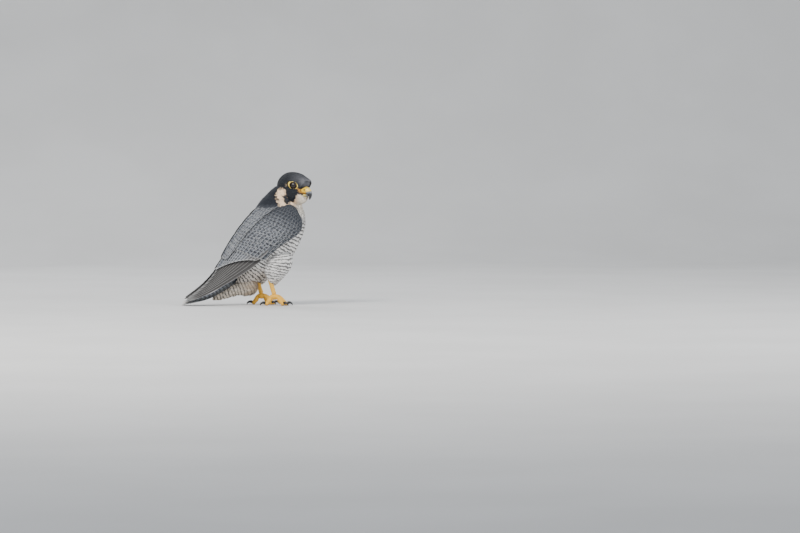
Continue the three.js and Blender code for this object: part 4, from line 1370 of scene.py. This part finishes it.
# Cere: cut square at its edge and along the mouth, with a nostril and its tubercle on each side
points, quads, triangles = closed(body(CERE, 0.1), 96, 90)
points[:, 0] = np.minimum(points[:, 0], CERE_EDGE)
points[:, 2] = np.maximum(points[:, 2], MOUTH + GAP / 2)
from_nostril = np.hypot(points[:, 0] - NOSTRIL[0], points[:, 2] - NOSTRIL[1])
hole = 1 - ease(from_nostril, NOSTRIL_REACH - 0.8, NOSTRIL_REACH)
tubercle = 1 - ease(from_nostril, 0.2, 0.45)
sunk = (NOSTRIL_DEPTH * hole - TUBERCLE * tubercle) * (np.abs(points[:, 1]) > 4)
points[:, 1] -= np.sign(points[:, 1]) * sunk
colours = pick(ease(-points[:, 2], 5.5, 8.5), CERE_YELLOW, CERE_ORANGE)
# Painted shade: the hollow of the nostril round its tubercle, and the cere's lowest edge along the mouth, are
# painted dark.
dark = np.maximum(hole * (1 - tubercle), ease(-points[:, 2], 8.7, 9.1))
colours = pick(dark, colours, NOSTRIL_AND_MOUTH_SHADE)
tinted("cere_skin", (from_head(points), quads, triangles), colours, WAX, "bare_yellow", ("cere",))

# Upper bill, with its tooth behind the hook
points, quads, triangles = closed(body(HOOK, 0.08), 72, 84)
points[:, 0] = np.maximum(points[:, 0], CERE_EDGE + GAP / 2)
tooth = bump((points[:, 0] - TOOTH[0]) / 1.6, 0, (points[:, 2] - TOOTH[1]) / 2.2, 1.0)
points[:, 2] -= TOOTH_DEPTH * tooth * ease(-points[:, 2], 8, 11)
reach = (points[:, 0] - CERE_EDGE) * 0.45 - points[:, 2]
colours = pick(ease(reach, 4.2, 7.5), BILL_YELLOW, BILL_SLATE)
colours = pick(ease(reach, 8.0, 12.5), colours, BILL_BLACK)
tinted("bill_hook", (from_head(points), quads, triangles), colours, HORN, "bill_horn", ("bill_upper",))

# Lower bill
points, quads, triangles = closed(body(JAW, 0.12), 60, 60)
points[:, 2] = np.minimum(points[:, 2], MOUTH - GAP / 2)
colours = pick(ease(points[:, 0], 36, 43), JAW_YELLOW, JAW_SLATE)
colours = pick(ease(33 - points[:, 0], 0, 8), colours, GAPE_ORANGE)
# Painted shade: the top edge of the lower bill along the mouth is painted dark.
colours = pick(ease(points[:, 2], MOUTH - 1.1, MOUTH - 0.5), colours, LID_DARK_AND_MOUTH_SHADE)
tinted("bill_jaw", (from_head(points), quads, triangles), colours, HORN, "bill_horn", ("bill_lower",))


# Feet
def toe_stations(heading, reach, thick):
    """Stations of a toe: an arch from the palm to the floor, with pads that swell below."""
    angle = math.radians(heading)
    stations = []
    for i, height in enumerate(TOE_ARCH):
        share = 0.95 * i / (len(TOE_ARCH) - 1)
        pad = 1.22 if i % 2 else 0.89
        stations.append((
            math.cos(angle) * share * reach,
            math.sin(angle) * share * reach,
            height,
            thick * (1 - 0.2 * share) * (0.5 + pad / 2),
            thick * (1 - 0.2 * share),
            thick * (1 - 0.1 * share) * pad,
        ))
    return stations


def claw_stations(heading, reach, thick, length):
    """Stations of a claw: a tapered hook from the toe's end to the floor."""
    angle = math.radians(heading)
    start = 0.9 * reach
    path = [(start, 5.4, 0.6), (start + 0.4 * length, 6.6, 0.5), (start + 0.74 * length, 4.2, 0.32),
            (start + 0.84 * length, 0.5, 0.13)]
    return [(math.cos(angle) * far, math.sin(angle) * far, height, thick * k, thick * k * 1.15, thick * k)
            for far, height, k in path]


def scuted(surface, step, depth):
    """Broad scales across the upper side: the surface moves out by depth (sqrt|sin(pi length / step)| - 0.6)
    where it faces up."""
    measure = Measure(surface)

    def shaped(turn, t):
        turn, t = np.broadcast_arrays(np.asarray(turn, float), np.asarray(t, float))
        ridge = np.abs(np.sin(np.pi * measure.at(t) / step)) ** 0.5
        upper = ease(np.cos(turn), -0.1, 0.5)
        ends = ease(t, 0.02, 0.1) * ease(1 - t, 0.02, 0.1)
        height = depth * (ridge - 0.6) * upper * ends
        return surface(turn, t) + normal_at(surface, turn, t) * height[..., None]

    return shaped


def sideways_of(heading):
    """The level line square to a heading."""
    angle = math.radians(heading)
    return (-math.sin(angle), math.cos(angle), 0)


def on_leg(form, side):
    """A form of the left foot on either leg: mirrored, faces turned round, and pressed flat on the floor."""
    points, quads, triangles = form
    points[:, 2] = np.maximum(points[:, 2], 0.0)
    if side < 0:
        quads, triangles = quads[:, ::-1], triangles[:, ::-1]
    return mirrored(points, side) + legs[side], quads, triangles


def make_foot(side, name):
    """Palm and four toes melted into one foot, the shank above it, and four claws."""
    forms = [closed(lambda turn, t: ball(turn, t) * PALM + PALM_AT, 40, 30)]
    for heading, reach, thick, _ in TOES.values():
        toe = body(toe_stations(heading, reach, thick), 0.16, sideways_of(heading))
        forms.append(closed(scuted(toe, 2.3, 0.42), 44, 110))
    form = on_leg(joined(forms), side)
    foot = add_piece(f"toes_{name}", *form, BARE, "bare_yellow", (f"foot_{name}",))
    whole = melted(foot, FOOT_GRAIN)
    p = points_of(foot)
    p[:, 2] = np.maximum(p[:, 2], 0.0)
    whole.vertices.foreach_set("co", ((p + SHIFT) / 1000).astype(np.float32).ravel())
    # Painted shade: the toes are painted darker within 6 mm of the floor.
    add_colour(foot, "tint", pick(ease(p[:, 2], 0, 6), SHADED_TOE_YELLOW, TOE_YELLOW))

    points, quads, triangles = closed(scuted(body(TARSUS, 0.12), 2.6, 0.35), 48, 90)
    form = (points + legs[side], quads, triangles)
    tinted(f"shank_{name}", form, SHANK_YELLOW, BARE, "bare_yellow", (f"tarsus_{name}",))
    for toe, (heading, reach, thick, length) in TOES.items():
        stations = claw_stations(heading, reach, thick, length)
        form = on_leg(closed(body(stations, 0.1, sideways_of(heading)), 24, 36), side)
        tinted(f"talon_{name}_{toe}", form, CLAW_BLACK, CLAW, "claw_horn", (f"claw_{name}_{toe}",))


for side, name in SIDES.items():
    make_foot(side, name)


# Floor, light and camera
def make_stage():
    """A pale floor that curves up to a backdrop behind the bird: a line, a quarter circle, and a line."""
    half, front, start, radius, top = 9, -12.0, 2.5, 1.5, 6.0
    bend = np.linspace(0, math.pi / 2, 24)
    y = np.concatenate([[front], start + radius * np.sin(bend), [start + radius]])
    z = np.concatenate([[0.0], radius - radius * np.cos(bend), [top]])
    grid = np.stack(np.broadcast_arrays(np.linspace(-half, half, 3)[:, None], y, z), -1)
    ids = np.arange(3 * len(y)).reshape(3, len(y))
    quads = np.stack([ids[:-1, :-1], ids[1:, :-1], ids[1:, 1:], ids[:-1, 1:]], -1).reshape(-1, 4)
    mesh = bpy.data.meshes.new("floor")
    mesh.from_pydata(grid.reshape(-1, 3).tolist(), [], quads.tolist())
    mesh.polygons.foreach_set("use_smooth", np.ones(len(quads), bool))
    floor = bpy.data.objects.new("floor", mesh)
    bpy.context.scene.collection.objects.link(floor)
    n = Nodes("pale floor")
    shade = n.blend(n.smooth(n.noise(3.0, 4.0), 0.3, 0.7), (0.60, 0.59, 0.57), (0.64, 0.63, 0.61))
    n.link(shade, n.shader.inputs["Base Color"])
    mesh.materials.append(n.finish(0.8))


def add_light(name, at, aim, power, size, colour):
    """A square soft light at a place, turned to what it aims at."""
    light = bpy.data.lights.new(name, "AREA")
    light.energy = power
    light.size = size
    light.color = colour
    lamp = bpy.data.objects.new(name, light)
    lamp.location = at
    lamp.rotation_euler = (Vector(aim) - Vector(at)).to_track_quat("-Z", "Y").to_euler()
    bpy.context.scene.collection.objects.link(lamp)


AZIMUTH, ELEVATION = math.radians(-8), math.radians(2)
DISTANCE, PICTURE_WIDTH = 9.0, 1.72
PICTURE_CENTRE = (0.275, 0.083)
make_stage()
WARM, COOL = (1.0, 0.98, 0.95), (0.95, 0.97, 1.0)
add_light("key", (-1.7, -2.2, 2.6), (0, 0, 0.12), 142, 1.3, WARM)
add_light("fill", (2.4, -1.8, 1.3), (0, 0, 0.12), 62, 1.8, COOL)
add_light("rim", (-0.6, 2.2, 2.2), (0, 0, 0.15), 40, 1.4, COOL)
world = bpy.data.worlds.new("soft sky")
world.use_nodes = True
world.node_tree.nodes["Background"].inputs["Color"].default_value = (0.80, 0.86, 0.95, 1)
world.node_tree.nodes["Background"].inputs["Strength"].default_value = 0.85
bpy.context.scene.world = world

right = Vector((math.cos(AZIMUTH), math.sin(AZIMUTH), 0))
aim = Vector(SHIFT / 1000) + right * PICTURE_CENTRE[0] + Vector((0, 0, PICTURE_CENTRE[1]))
level = math.cos(ELEVATION)
back = Vector((math.sin(AZIMUTH) * level, -math.cos(AZIMUTH) * level, math.sin(ELEVATION)))
lens = bpy.data.cameras.new("camera")
lens.sensor_width = 36
lens.lens = 36 * DISTANCE / PICTURE_WIDTH
lens.clip_end = 60
camera = bpy.data.objects.new("camera", lens)
camera.location = aim + back * DISTANCE
camera.rotation_euler = (-back).to_track_quat("-Z", "Y").to_euler()
bpy.context.scene.collection.objects.link(camera)
bpy.context.scene.camera = camera
